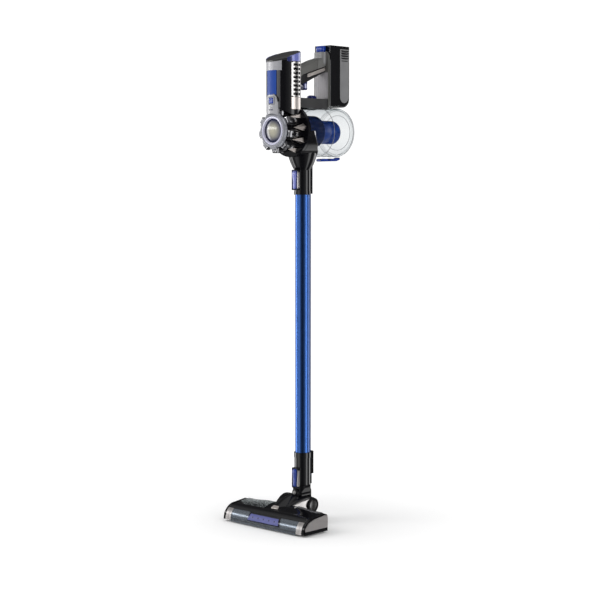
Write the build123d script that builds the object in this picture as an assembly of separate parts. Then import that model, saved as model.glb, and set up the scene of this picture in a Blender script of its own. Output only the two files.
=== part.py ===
from build123d import *
import math
import os

# Cordless stick vacuum standing upright on its floor head. Millimetres, +Z up.
# -Y is the front of the floor head, +Y is the side of the handle and battery.
# Every piece is drawn about the wand's axis (x = 0, y = 0) and then moved by
# WAND_Y, which puts the origin at the centre of the whole object's footprint.
WAND_Y = -2.5

# Floor head
HEAD_HALF = 129.0
HEAD_FRONT = -132.0
HEAD_BACK = -52.0
SOLE_BOTTOM = 5.0
SOLE_TOP = 9.0
VISOR_Y = -98.0
VISOR_R = 34.0
BROW_END = 112.0
WINDOW_START = 130.0
WINDOW_END = 167.0
COVER_HALF = 119.5
COVER_WALL = 2.5
COVER_TOP = 43.0
RIDGE_Y = -62.0
BAND_START = 103.0
LENS_HALF = 48.5
BRUSH_Y = -96.0
BRUSH_Z = 15.5
BRISTLE_R = 13.8
CORE_R = 8.0
BRUSH_PULLEY_R = 8.5
MOTOR_Y = -68.0
MOTOR_Z = 21.0
MOTOR_PULLEY_R = 4.5
BELT_X0 = -111.0
BELT_X1 = -105.0
BELT_THICK = 1.1
FIT = 0.05
WHEEL_R = 9.0
WHEEL_Y = 16.0
WHEEL_X0 = 28.3
WHEEL_X1 = 36.2
AXLE_R = 2.0
SCREW_SPOTS = [(-105.0, -58.5), (-38.0, -58.5), (38.0, -58.5), (105.0, -58.5)]

# Two-axis neck: the yoke pitches about X, the elbow rolls about Y
PITCH_Y = -10.0
PITCH_Z = 42.0
PIVOT_R = 16.5
PIVOT_X0 = 21.0
PIVOT_X1 = 42.0
YOKE_R = 11.0
YOKE_HALF = 20.5
TRUNNION_R = 5.0
ROLL_Z = 67.0
ROLL_PIN_R = 3.0
KNUCKLE_R = 13.4
KNUCKLE_FRONT = -20.5
KNUCKLE_BACK = 16.0
EAR = 5.2

# Wand and its two sockets
WAND_R = 16.6
WAND_WALL = 1.2
WAND_BOTTOM = 98.0
WAND_TOP = 806.0
CHANNEL_HALF = 5.0
CHANNEL_Y = 23.0
SOCKET_R = 16.9
COLLAR_R = 18.6
ELBOW_TOP = 159.0
INTAKE_BOTTOM = 752.0
LATCH_FACE = -29.0
LATCH_BACK = -21.9
LATCH_POCKET = -19.5
LOWER_LATCH_Z = 101.5
UPPER_LATCH_Z = 785.5
LATCH_HALF_Z = 20.5

# Cyclone and dust bin, on an axis along Y
CYCLONE_Z = 895.0
BEZEL_FRONT = -99.5
DRUM_FRONT = -90.0
FLANGE_FRONT = -42.0
FLANGE_BACK = -34.0
FLANGE_R = 58.0
DRUM_R = 38.0
CONES = 9
CONE_STEP = 360.0 / CONES
CONE_RING_R = 38.5
CONE_R = 11.5
SHROUD_R = 37.0
SHROUD_BACK = 44.0
CORE_CUP_R = 27.0
CORE_CUP_BACK = 106.0
BIN_R = 56.5
BIN_WALL = 2.3
BIN_FRONT = -33.4
BIN_BACK = 111.5
LID_FRONT = 112.0
LID_BACK = 118.0
LID_PIN_Y = 115.0
LID_PIN_Z = 948.6
LEVER_PIN_Y = 82.0
LEVER_PIN_Z = 833.0

# Motor housing, on a vertical axis
HOUSING_Y = -62.0
HOUSING_R = 38.5
HOUSING_WALL = 2.5
HOUSING_BOTTOM = 930.0
FRONT_TOP = 1053.0
BACK_TOP = 1078.0
STRIP_THICK = 0.8
VENT_HALF_ANGLE = 14.0
VENT_SLOTS = 8
VENT_PITCH = 8.2
VENT_FIRST_Z = 974.5
SHAFT_R = 3.0

# Handle, dock and battery
BEAM_HALF = 12.0
DOCK_FRONT = 63.5
DOCK_BACK = 67.5
DOCK_HALF = 23.0
DOCK_BOTTOM = 953.0
DOCK_TOP = 1093.0
BRIDGE_HALF = 20.0
BRIDGE_TOP = 970.0
BATTERY_FRONT = 68.0
BATTERY_BACK = 137.0
BATTERY_HALF = 24.0
BATTERY_WALL = 2.4
CELL_R = 9.1
JACK_Z = 990.0
JACK_R = 2.75
JACK_LENGTH = 9.0


def block(x0, x1, y0, y1, z0, z1):
    """A box between two corners."""
    centre = Pos((x0 + x1) / 2, (y0 + y1) / 2, (z0 + z1) / 2)
    return centre * Box(abs(x1 - x0), abs(y1 - y0), abs(z1 - z0))


def rod_x(r, x0, x1, y, z):
    return Pos((x0 + x1) / 2, y, z) * Rot(0, 90, 0) * Cylinder(r, x1 - x0)


def rod_y(r, y0, y1, x, z):
    return Pos(x, (y0 + y1) / 2, z) * Rot(90, 0, 0) * Cylinder(r, y1 - y0)


def rod_z(r, z0, z1, x, y):
    return Pos(x, y, (z0 + z1) / 2) * Cylinder(r, z1 - z0)


def slab_x(points, x0, x1):
    """A side outline in (y, z), pushed along X."""
    face = make_face(Polyline(*points, close=True))
    return extrude(Plane.YZ.offset(x0) * face, amount=x1 - x0)


def slab_y(face, y0, y1):
    """A front outline in (x, z), pushed along Y."""
    return extrude(Plane.XZ.offset(-y1) * face, amount=y1 - y0)


def turned_y(points, z):
    """An outline in (radius, y), turned about an axis along Y at height z."""
    face = make_face(Polyline(*points, close=True))
    return Pos(0, 0, z) * revolve(face, Axis.Y)


def sector(centre, r_out, r_in, start, end):
    """A flat piece of a ring between two angles."""
    outer = CenterArc(centre, r_out, start, end - start)
    inner = CenterArc(centre, r_in, start, end - start)
    ends = [Line(outer @ 0, inner @ 0), Line(outer @ 1, inner @ 1)]
    return make_face([outer, inner, *ends])


def sector_x(r_out, r_in, start, end, x0, x1):
    """Part of the visor's ring, which lies around an axis along X."""
    face = sector((VISOR_Y, SOLE_BOTTOM), r_out, r_in, start, end)
    return extrude(Plane.YZ.offset(x0) * face, amount=x1 - x0)


def sector_z(r_out, r_in, start, end, z0, z1):
    """Part of a ring around the motor housing's vertical axis."""
    face = sector((0, HOUSING_Y), r_out, r_in, start, end)
    return extrude(Plane.XY.offset(z0) * face, amount=z1 - z0)


def group(shapes):
    """Several separate solids kept together as one piece of the list."""
    return Compound([solid for shape in shapes for solid in shape.solids()])


def both_sides(shape):
    """A shape and its mirror image across the middle plane."""
    return group([shape, mirror(shape, about=Plane.YZ)])


def join(first, *others):
    for other in others:
        first = first + other
    return first


# ---------------------------------------------------------------- floor head

def cover_outline(front, inset):
    """The wedge-shaped side outline of the head, drawn in by a wall."""
    slope = (COVER_TOP - SOLE_BOTTOM - VISOR_R) / (RIDGE_Y - VISOR_Y)
    return [
        (front, COVER_TOP - inset - (RIDGE_Y - front) * slope),
        (RIDGE_Y, COVER_TOP - inset),
        (-55.0 - inset * 0.4, COVER_TOP - 2.2 - inset),
        (HEAD_BACK - inset, COVER_TOP - 7.0 - inset * 0.5),
        (HEAD_BACK - inset, SOLE_TOP),
        (front, SOLE_TOP),
    ]


def head_block(half):
    """The head's whole wedge, filled."""
    return slab_x(cover_outline(VISOR_Y + 0.2, 0), -half, half)


def sole_plate():
    plate = block(-126, 126, HEAD_FRONT + 3, HEAD_BACK, SOLE_BOTTOM, SOLE_TOP)
    mouth = block(-114, 114, -113, -80, 0, 20)
    plate = plate - mouth
    for x, y in SCREW_SPOTS:
        plate = plate - rod_z(1.6, 0, 20, x, y)
    for side in (-1, 1):
        arm = block(side * 21.5, side * 42, HEAD_BACK - 1, -3, SOLE_BOTTOM, 20)
        cradle = block(side * 21.5, side * 42, -22, 2, SOLE_BOTTOM, 30)
        inner = block(side * 21.5, side * 26.5, -6, WHEEL_Y + 7, SOLE_BOTTOM, 17)
        outer = block(side * 38, side * 42, -6, WHEEL_Y + 7, SOLE_BOTTOM, 17)
        plate = join(plate, arm, cradle, inner, outer)
        well = rod_x(WHEEL_R + 1.5, 26.5, 38, WHEEL_Y, WHEEL_R)
        if side < 0:
            well = mirror(well, about=Plane.YZ)
        plate = plate - well
    plate = plate - rod_x(AXLE_R + 0.02, -60, 60, WHEEL_Y, WHEEL_R)
    return plate - rod_x(PIVOT_R + FIT, -50, 50, PITCH_Y, PITCH_Z)


def head_cover():
    hollow = slab_x(cover_outline(VISOR_Y - 5, COVER_WALL), -COVER_HALF + 2, COVER_HALF - 2)
    shell = head_block(COVER_HALF) - hollow
    for side in (-1, 1):
        arm_gap = block(side * 21, side * 42.5, HEAD_BACK - 4, HEAD_BACK + 1, 0, 20.5)
        shell = shell - arm_gap
    for x, y in SCREW_SPOTS:
        boss = rod_z(3.4, SOLE_TOP, COVER_TOP - 4, x, y) - rod_z(1.5, 0, 24, x, y)
        shell = shell + boss
    brow = sector_x(VISOR_R, VISOR_R - COVER_WALL, 89, BROW_END - 0.3, -COVER_HALF, COVER_HALF)
    return shell + brow


def hood_loft(inset):
    """The humped cover over the neck, from a thin nose to a tall back."""
    sections = [(-88.0, 17.0, 33.0, 42.5), (-76.0, 25.0, 33.0, 50.0),
                (-52.0, 25.0, 33.0, 59.5), (-27.4, 19.5, 33.0, 64.5)]
    faces = []
    for y, half, low, high in sections:
        half = half - inset
        high = high - inset
        mid = low + (high - low) * 0.35
        arch = ThreePointArc((-half, mid), (0, high), (half, mid))
        sides = Polyline((half, mid), (half, low), (-half, low), (-half, mid))
        faces.append(Plane.XZ.offset(-y) * make_face([arch, *sides.edges()]))
    return loft(faces)


def neck_hood():
    hood = hood_loft(0) - hood_loft(2.4)
    hood = hood - head_block(200)
    for side in (-1, 1):
        cheek = block(side * PIVOT_X0, side * 30, HEAD_BACK + 0.2, PITCH_Y, 30, 46)
        barrel = rod_x(PIVOT_R, 0, PIVOT_X1 - PIVOT_X0, PITCH_Y, PITCH_Z)
        start = PIVOT_X0 if side > 0 else -PIVOT_X1
        hood = join(hood, cheek, Pos(start, 0, 0) * barrel)
    gap = block(-PIVOT_X0, PIVOT_X0, -27.9, 60, 0, 90)
    hood = hood - gap
    bridge = block(-PIVOT_X0 - 1, PIVOT_X0 + 1, -50, -32, 33, 36)
    hood = hood + bridge
    return hood - rod_x(TRUNNION_R + FIT, -60, 60, PITCH_Y, PITCH_Z)


def pivot_caps():
    cap = rod_x(PIVOT_R - 2, PIVOT_X1, PIVOT_X1 + 2.2, PITCH_Y, PITCH_Z)
    return both_sides(cap)


def deck_panels():
    points = [(-88.0, COVER_TOP - 3.0), (-62.0, COVER_TOP - 0.1),
              (-56.0, COVER_TOP - 2.0), (-56.0, COVER_TOP - 0.9),
              (-62.0, COVER_TOP + 0.9), (-88.0, COVER_TOP - 2.0)]
    panel = slab_x(points, 34, COVER_HALF - 3) - head_block(200)
    return both_sides(panel)


def front_visor():
    visor = sector_x(VISOR_R, VISOR_R - 2.5, BROW_END, 180, -BAND_START, BAND_START)
    window = sector_x(VISOR_R + 5, VISOR_R - 5, WINDOW_START, WINDOW_END, -LENS_HALF, LENS_HALF)
    lip = block(-BAND_START, BAND_START, HEAD_FRONT, HEAD_FRONT + 2.5, 2.5, SOLE_BOTTOM)
    return visor - window + lip


def visor_end_bands():
    band = sector_x(VISOR_R + 0.4, VISOR_R - 2.5, BROW_END, 180, BAND_START + 0.2, COVER_HALF)
    groove = sector_x(VISOR_R + 2, VISOR_R - 0.3, BROW_END, 180, 110.6, 111.4)
    keep = block(-200, 200, HEAD_FRONT, 0, 0, 60)
    return both_sides((band - groove) & keep)


def led_lens():
    start, end = WINDOW_START + 0.5, WINDOW_END - 0.5
    lens = sector_x(VISOR_R + 0.5, VISOR_R - 1.5, start, end, -LENS_HALF + 0.3, LENS_HALF - 0.3)
    keep = block(-200, 200, HEAD_FRONT, 0, 0, 60)
    return lens & keep


def led_board():
    board = sector_x(VISOR_R - 3, VISOR_R - 4.2, WINDOW_START + 3, WINDOW_END - 3, -46, 46)
    middle = (WINDOW_START + WINDOW_END) / 2
    for k in range(5):
        x = -36 + 18 * k
        board = board + sector_x(VISOR_R - 1.6, VISOR_R - 3, middle - 3, middle + 3, x - 1.8, x + 1.8)
    return board


def side_outline(inset):
    """The whole end profile of the head, in (y, z)."""
    r = VISOR_R - inset
    arc = CenterArc((VISOR_Y, SOLE_BOTTOM), r, 91, 89)
    base = SOLE_TOP + 0.2
    back = Polyline(arc @ 0, (-62.0, COVER_TOP - inset), (-55.0, COVER_TOP - 2.2 - inset),
                    (HEAD_BACK - inset, COVER_TOP - 7 - inset), (HEAD_BACK - inset, base),
                    (VISOR_Y - r + 0.4, base), arc @ 1)
    return make_face([arc, *back.edges()])


def end_caps():
    cap = extrude(Plane.YZ.offset(COVER_HALF + 0.2) * side_outline(0), amount=6.3)
    hollow = extrude(Plane.YZ.offset(COVER_HALF) * side_outline(2.6), amount=4.2)
    foot = block(COVER_HALF + 0.2, 126, HEAD_FRONT + 6, HEAD_BACK, 3.2, SOLE_BOTTOM)
    bumper = block(126.0, 128.4, HEAD_FRONT + 4, HEAD_BACK - 3, 4.6, 11.0)
    return both_sides(join(cap - hollow, foot, bumper))


def end_plates():
    points = [(-127.5, 12.0), (-127.5, 18.5), (-117.0, 30.0), (-98.0, 36.2), (-62.0, 40.2),
              (-57.0, 38.6), (-54.8, 35.0), (-54.8, 12.0)]
    return both_sides(slab_x(points, 126.0, HEAD_HALF))


def floor_strips():
    front = block(-112, 112, -118.5, -115.5, 0, SOLE_BOTTOM)
    rear = block(-112, 112, -79, -76, 0, SOLE_BOTTOM)
    return group([front, rear])


def brush_motor():
    can = rod_x(10.5, -99, -44, MOTOR_Y, MOTOR_Z)
    nose = rod_x(4, -101, -99, MOTOR_Y, MOTOR_Z)
    tabs = block(-98, -94, MOTOR_Y - 10, MOTOR_Y + 10, SOLE_TOP, MOTOR_Z)
    rear_tabs = block(-52, -48, MOTOR_Y - 10, MOTOR_Y + 10, SOLE_TOP, MOTOR_Z)
    return join(can, nose, tabs, rear_tabs) - rod_x(1.65, -120, -90, MOTOR_Y, MOTOR_Z)


def motor_pulley():
    wheel = rod_x(MOTOR_PULLEY_R, BELT_X0, BELT_X1, MOTOR_Y, MOTOR_Z)
    return wheel + rod_x(1.6, BELT_X1, -91, MOTOR_Y, MOTOR_Z)


def belt_loop(extra):
    """The belt's side outline: two circles and the strip between them."""
    r1 = BRUSH_PULLEY_R + extra
    r2 = MOTOR_PULLEY_R + extra
    dy = MOTOR_Y - BRUSH_Y
    dz = MOTOR_Z - BRUSH_Z
    along = math.atan2(dz, dy)
    spread = math.acos((r1 - r2) / math.hypot(dy, dz))
    corners = []
    for cy, cz, r, signs in ((BRUSH_Y, BRUSH_Z, r1, (1, -1)), (MOTOR_Y, MOTOR_Z, r2, (-1, 1))):
        for sign in signs:
            angle = along + sign * spread
            corners.append((cy + r * math.cos(angle), cz + r * math.sin(angle)))
    strip = make_face(Polyline(*corners, close=True))
    return strip + Pos(BRUSH_Y, BRUSH_Z) * Circle(r1) + Pos(MOTOR_Y, MOTOR_Z) * Circle(r2)


def drive_belt():
    loop = belt_loop(FIT * 3 + BELT_THICK) - belt_loop(FIT * 3)
    return extrude(Plane.YZ.offset(BELT_X0 + 0.5) * loop, amount=BELT_X1 - BELT_X0 - 1)


def brush_core():
    core = rod_x(CORE_R, BELT_X1, 110, BRUSH_Y, BRUSH_Z)
    core = core - rod_x(CORE_R - 2, -100, 106, BRUSH_Y, BRUSH_Z)
    pulley = rod_x(BRUSH_PULLEY_R, BELT_X0, BELT_X1, BRUSH_Y, BRUSH_Z)
    return join(core, pulley, rod_x(3, -116.5, BELT_X0, BRUSH_Y, BRUSH_Z),
                rod_x(3, 110, 116.5, BRUSH_Y, BRUSH_Z))


def brush_bristles():
    """Two helical rows of tufts that meet in a V at the middle."""
    tufts = []
    for row in range(2):
        for k in range(33):
            x = -99.0 + 6.3 * k
            angle = 180 * row + abs(x) * 1.6
            tuft = Pos(0, 0, CORE_R + (BRISTLE_R - CORE_R) / 2) * Cylinder(1.7, BRISTLE_R - CORE_R)
            tufts.append(Pos(x, BRUSH_Y, BRUSH_Z) * Rot(angle, 0, 0) * tuft)
    return group(tufts)


def brush_bearings():
    outer = rod_x(5.0, 112.0, 117.0, BRUSH_Y, BRUSH_Z)
    return both_sides(outer - rod_x(3 + FIT, 100, 120, BRUSH_Y, BRUSH_Z))


def wheel_axles():
    return both_sides(rod_x(AXLE_R, 22, 42, WHEEL_Y, WHEEL_R))


def rear_wheel(side):
    wheel = rod_x(WHEEL_R, WHEEL_X0, WHEEL_X1, WHEEL_Y, WHEEL_R)
    wheel = wheel - rod_x(AXLE_R + FIT, 0, 60, WHEEL_Y, WHEEL_R)
    return wheel if side > 0 else mirror(wheel, about=Plane.YZ)


def head_screws():
    screws = []
    for x, y in SCREW_SPOTS:
        screws.append(rod_z(3.0, 3.4, SOLE_BOTTOM, x, y) + rod_z(1.5, SOLE_BOTTOM, 22, x, y))
    return group(screws)


# ---------------------------------------------------------------------- neck

def pitch_yoke():
    hub = rod_x(YOKE_R, -YOKE_HALF, YOKE_HALF, PITCH_Y, PITCH_Z)
    saddle = block(-10, 10, KNUCKLE_FRONT - 0.5 - EAR, KNUCKLE_BACK + 0.5 + EAR, 38, 52.4)
    yoke = join(hub, saddle, rod_x(TRUNNION_R, -39, 39, PITCH_Y, PITCH_Z))
    for y0, y1 in ((KNUCKLE_FRONT - 0.5 - EAR, KNUCKLE_FRONT - 0.5),
                   (KNUCKLE_BACK + 0.5, KNUCKLE_BACK + 0.5 + EAR)):
        ear = block(-8, 8, y0, y1, 45, ROLL_Z) + rod_y(8, y0, y1, 0, ROLL_Z)
        yoke = yoke + ear
    yoke = yoke - rod_y(ROLL_PIN_R, -60, -KNUCKLE_BACK, 0, ROLL_Z)
    return yoke - rod_y(ROLL_PIN_R, 8, 60, 0, ROLL_Z)


def roll_pins():
    front_face = KNUCKLE_FRONT - 0.5 - EAR
    back_face = KNUCKLE_BACK + 0.5 + EAR
    front = rod_y(ROLL_PIN_R, front_face, -15, 0, ROLL_Z)
    front = front + rod_y(5.2, front_face - 1.4, front_face, 0, ROLL_Z)
    back = rod_y(ROLL_PIN_R, 12, back_face, 0, ROLL_Z)
    back = back + rod_y(5.2, back_face, back_face + 1.4, 0, ROLL_Z)
    return group([front, back])


def latch_housing(z):
    """A raised frame on a collar's front, with the latch's pocket."""
    return block(-9.5, 9.5, -25.5, -12, z - LATCH_HALF_Z - 2.5, z + LATCH_HALF_Z + 2.5)


def channel_slot(z0, z1):
    """The groove in a socket for the wiring channel on the wand's back."""
    half = CHANNEL_HALF + 0.4
    return block(-half, half, 0, CHANNEL_Y + 0.5, z0, z1)


def latch_pocket(z):
    return block(-6.35, 6.35, -40, LATCH_POCKET, z - LATCH_HALF_Z - 0.4, z + LATCH_HALF_Z + 0.4)


def latch(z):
    """A pressed latch, wide at its top and narrower at its foot."""
    high = LATCH_HALF_Z
    outline = Polyline((-6, high - 3), (-4, high), (4, high), (6, high - 3), (4.6, 2 - high),
                       (3.4, -high), (-3.4, -high), (-4.6, 2 - high), close=True)
    return Pos(0, 0, z) * slab_y(make_face(outline), LATCH_FACE, LATCH_BACK)


def elbow_collar():
    wedge = make_face(Polyline((-13.4, ROLL_Z), (13.4, ROLL_Z), (COLLAR_R, 78), (COLLAR_R, 84),
                               (-COLLAR_R, 84), (-COLLAR_R, 78), close=True))
    knuckle = slab_y(wedge + Pos(0, ROLL_Z) * Circle(KNUCKLE_R), KNUCKLE_FRONT, KNUCKLE_BACK)
    knuckle = knuckle & rod_z(20.5, 40, 90, 0, -2)
    tube = rod_z(COLLAR_R, 79, ELBOW_TOP, 0, 0) + rod_z(COLLAR_R + 0.8, 147, ELBOW_TOP, 0, 0)
    rib = block(-7.4, 7.4, 12, 30, 106, ELBOW_TOP) + block(-4.4, 4.4, 12, 27, 82, 106)
    collar = join(knuckle, tube, rib, latch_housing(LOWER_LATCH_Z))
    collar = collar - latch_pocket(LOWER_LATCH_Z)
    collar = collar - rod_z(SOCKET_R, WAND_BOTTOM - 1, 200, 0, 0)
    collar = collar - channel_slot(WAND_BOTTOM + 1, 200)
    collar = collar - rod_z(13.5, 86, 110, 0, 0) - rod_z(9, 72, 100, 0, -2)
    collar = collar - block(-3, 3, CHANNEL_Y + 1.5, 28.5, 108, 200)
    collar = collar - rod_y(ROLL_PIN_R + FIT, -60, -14.6, 0, ROLL_Z)
    return collar - rod_y(ROLL_PIN_R + FIT, 11.6, 60, 0, ROLL_Z)


# ---------------------------------------------------------------------- wand

def wand_tube():
    tube = rod_z(WAND_R, WAND_BOTTOM, WAND_TOP, 0, 0)
    return tube - rod_z(WAND_R - WAND_WALL, 0, 1000, 0, 0)


def wiring_channel():
    rail = block(-CHANNEL_HALF, CHANNEL_HALF, 13, CHANNEL_Y, WAND_BOTTOM + 4, WAND_TOP - 6)
    duct = block(-CHANNEL_HALF + 1.3, CHANNEL_HALF - 1.3, 17.4, CHANNEL_Y - 1.2, 0, 1000)
    return rail - rod_z(WAND_R, 0, 1000, 0, 0) - duct


def wand_wires():
    wires = []
    for x in (-1.9, 1.9):
        wires.append(rod_z(1.0, WAND_BOTTOM + 5, WAND_TOP - 7, x, 19.0))
    return group(wires)


# ------------------------------------------------------------- intake, cyclone

def intake_duct():
    tube = rod_z(COLLAR_R, INTAKE_BOTTOM, 812, 0, 0)
    tube = tube + rod_z(COLLAR_R + 0.6, INTAKE_BOTTOM, 760, 0, 0)
    foot = Plane.XY.offset(808) * Circle(COLLAR_R)
    middle = Plane.XY.offset(836) * Circle(31)
    mouth = Plane.XY.offset(868) * Circle(36)
    funnel = loft([foot, middle, mouth])
    rib = block(-7, 7, 12, 26.6, 754, 822) + block(-3.5, 3.5, 20, 29, 800, 842)
    duct = join(tube, funnel, rib, latch_housing(UPPER_LATCH_Z))
    duct = duct - rod_y(BIN_R + 0.6, -70, 70, 0, CYCLONE_Z)
    duct = duct - rod_y(FLANGE_R + 0.02, FLANGE_FRONT, FLANGE_BACK, 0, CYCLONE_Z)
    duct = duct - latch_pocket(UPPER_LATCH_Z)
    duct = duct - rod_z(SOCKET_R, 700, WAND_TOP + 1, 0, 0) - rod_z(14.5, 800, 850, 0, 0)
    return duct - channel_slot(700, WAND_TOP - 5)


def bezel_ring():
    points = [(27.5, BEZEL_FRONT + 2.5), (30.0, BEZEL_FRONT), (36.0, BEZEL_FRONT), (38.5, BEZEL_FRONT + 3),
              (38.5, DRUM_FRONT - 0.05), (27.5, DRUM_FRONT - 0.05)]
    return turned_y(points, CYCLONE_Z)


def mirror_dome():
    arc = ThreePointArc((0, BEZEL_FRONT + 1.5), (15, BEZEL_FRONT + 3.0), (27.2, BEZEL_FRONT + 6.5))
    back = Polyline((27.2, BEZEL_FRONT + 6.5), (27.2, DRUM_FRONT - 0.1),
                    (0, DRUM_FRONT - 0.1), (0, BEZEL_FRONT + 1.5))
    return Pos(0, 0, CYCLONE_Z) * revolve(make_face([arc, *back.edges()]), Axis.Y)


def cone_angles():
    """One cone points straight down, the others follow around the axis."""
    return [-90 + CONE_STEP * k for k in range(CONES)]


def around_cyclone(shape, angle):
    """Carries a shape drawn on the +X side around the cyclone's axis."""
    return Pos(0, 0, CYCLONE_Z) * Rot(0, -angle, 0) * shape


def cyclone_cone():
    """A stepped cone: a short barrel at the front, tapering to the flange."""
    points = [(0, DRUM_FRONT + 4), (CONE_R, DRUM_FRONT + 4), (CONE_R, -74), (CONE_R - 1.6, -73.6),
              (CONE_R - 2.4, -62), (CONE_R - 4.0, -61.6), (CONE_R - 5.2, FLANGE_FRONT), (0, FLANGE_FRONT)]
    return Pos(CONE_RING_R, 0, 0) * revolve(make_face(Polyline(*points, close=True)), Axis.Y)


def cyclone_body():
    points = [(10, DRUM_FRONT), (DRUM_R, DRUM_FRONT), (DRUM_R, FLANGE_FRONT), (FLANGE_R, FLANGE_FRONT),
              (FLANGE_R, FLANGE_BACK), (20, FLANGE_BACK), (20, FLANGE_FRONT - 2),
              (DRUM_R - 3, FLANGE_FRONT - 2), (DRUM_R - 3, DRUM_FRONT + 3), (10, DRUM_FRONT + 3)]
    drum = turned_y(points, CYCLONE_Z)
    for angle in cone_angles():
        drum = drum + around_cyclone(cyclone_cone() - rod_y(DRUM_R - 1.5, -100, 0, 0, 0), angle)
    return drum


def cone_caps():
    caps = []
    face = make_face(Polyline((39.0, -8.5), (46.5, -5.4), (46.5, 5.4), (39.0, 8.5), close=True))
    for angle in cone_angles():
        front = Plane.XZ.offset(-DRUM_FRONT - 3.98) * face
        caps.append(around_cyclone(extrude(front, amount=4.0, taper=14), angle))
    return group(caps)


def mesh_shroud():
    front = FLANGE_BACK + 0.05
    points = [(SHROUD_R, front), (SHROUD_R, SHROUD_BACK - 7), (29.0, SHROUD_BACK), (27.0, SHROUD_BACK),
              (SHROUD_R - 1.6, SHROUD_BACK - 8), (SHROUD_R - 1.6, front)]
    return turned_y(points, CYCLONE_Z)


def dust_core():
    r = CORE_CUP_R
    points = [(r, SHROUD_BACK + 0.05), (r, CORE_CUP_BACK - 8), (r - 6, CORE_CUP_BACK), (0, CORE_CUP_BACK),
              (0, CORE_CUP_BACK - 2), (r - 7, CORE_CUP_BACK - 2), (r - 2, CORE_CUP_BACK - 9),
              (r - 2, SHROUD_BACK + 0.05)]
    return turned_y(points, CYCLONE_Z)


# ------------------------------------------------------------------ dust bin

def dust_bin():
    tube = rod_y(BIN_R, BIN_FRONT, BIN_BACK, 0, CYCLONE_Z)
    for side in (-1, 1):
        lug = block(side * 6, side * 10, 104, LID_PIN_Y + 2, LID_PIN_Z - 3, LID_PIN_Z + 2.6)
        ear = block(side * 8.5, side * 11, LEVER_PIN_Y - 4, LEVER_PIN_Y + 4, 829.5, 841)
        tube = join(tube, lug, ear)
    pin = rod_x(1.2, -10, 10, LID_PIN_Y, LID_PIN_Z)
    tube = tube - rod_y(BIN_R - BIN_WALL, -100, BIN_BACK, 0, CYCLONE_Z)
    tube = tube - rod_x(1.5, -20, 20, LEVER_PIN_Y, LEVER_PIN_Z)
    return tube + pin


def bin_lid():
    points = [(0, LID_BACK - 2.2), (0, LID_BACK - 4.4), (BIN_R - 6, LID_BACK - 4.4),
              (BIN_R - 6, LID_FRONT - 3), (BIN_R - 3, LID_FRONT - 3), (BIN_R - 3, LID_FRONT),
              (BIN_R, LID_FRONT), (BIN_R, LID_BACK - 2), (BIN_R - 3, LID_BACK), (40, LID_BACK),
              (38, LID_BACK - 2.2)]
    lid = turned_y(points, CYCLONE_Z)
    lid = lid - block(-60, 60, 100, 130, LID_PIN_Z + 1.3, 960)
    lid = lid - block(-60, 60, 100, LID_FRONT, LID_PIN_Z - 12, 960)
    for side in (-1, 1):
        lid = lid - block(side * 5.7, side * 10.4, 100, 130, LID_PIN_Z - 4, 960)
    lid = lid + rod_x(2.6, -5.6, 5.6, LID_PIN_Y, LID_PIN_Z)
    return lid - rod_x(1.26, -20, 20, LID_PIN_Y, LID_PIN_Z)


def lid_latch():
    side = [(56.0, 832.5), (62.0, 829.0), (104.0, 827.5), (111.0, 829.0), (119.3, 831.0),
            (119.3, 837.9), (118.4, 837.9), (117.8, 834.2), (104.0, 835.6), (56.0, 835.6)]
    return slab_x(side, -8, 8) + rod_x(1.4, -10.9, 10.9, LEVER_PIN_Y, LEVER_PIN_Z)


# -------------------------------------------------------------- motor housing

def above_top(lift):
    """All space above the housing's sloping top, moved up by lift."""
    back = HOUSING_Y + HOUSING_R
    front = HOUSING_Y - HOUSING_R
    slope = (BACK_TOP - FRONT_TOP) / (back - front)
    points = [(front - 20, FRONT_TOP - 20 * slope + lift), (back + 20, BACK_TOP + 20 * slope + lift),
              (back + 20, 1200), (front - 20, 1200)]
    return slab_x(points, -60, 60)


def cyclone_space():
    """The room that the cyclone, its flange and the bin take up below the housing."""
    flange = rod_y(FLANGE_R + 0.02, FLANGE_FRONT, FLANGE_BACK, 0, CYCLONE_Z)
    bin_room = rod_y(BIN_R + 0.6, FLANGE_BACK, 90, 0, CYCLONE_Z)
    return join(rod_y(51.5, -110, FLANGE_FRONT, 0, CYCLONE_Z), flange, bin_room)


def motor_housing():
    shell = rod_z(HOUSING_R, HOUSING_BOTTOM, 1100, 0, HOUSING_Y)
    shell = shell - rod_z(HOUSING_R - HOUSING_WALL, 900, 1100, 0, HOUSING_Y)
    for side in (-1, 1):
        for k in range(VENT_SLOTS):
            z = VENT_FIRST_Z + VENT_PITCH * k
            shell = shell - block(side * 30, side * 45, HOUSING_Y - 7, HOUSING_Y + 7, z - 2, z + 2)
    shell = shell - above_top(-4) - cyclone_space()
    return shell - block(-6.9, 6.9, -110, -90, 953.6, 968.4)


def housing_cap():
    lid = rod_z(HOUSING_R, 1000, 1100, 0, HOUSING_Y) & above_top(-4)
    return lid - above_top(0)


def front_strip():
    strip = sector_z(HOUSING_R + STRIP_THICK, HOUSING_R, 240, 300, 944, FRONT_TOP - 6)
    well = block(-6.9, 6.9, -110, -90, 953.6, 968.4)
    return strip - above_top(-4) - well


def front_inlay():
    return sector_z(HOUSING_R + 2 * STRIP_THICK, HOUSING_R + STRIP_THICK, 250, 290, 974, 1028)


def vent_strips():
    half = VENT_HALF_ANGLE
    strip = sector_z(HOUSING_R + 1.1, HOUSING_R, -half, half, 945, 1052)
    for k in range(VENT_SLOTS):
        z = VENT_FIRST_Z + VENT_PITCH * k
        strip = strip - block(30, 45, HOUSING_Y - 7, HOUSING_Y + 7, z - 2, z + 2)
    return both_sides(strip - cyclone_space())


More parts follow.
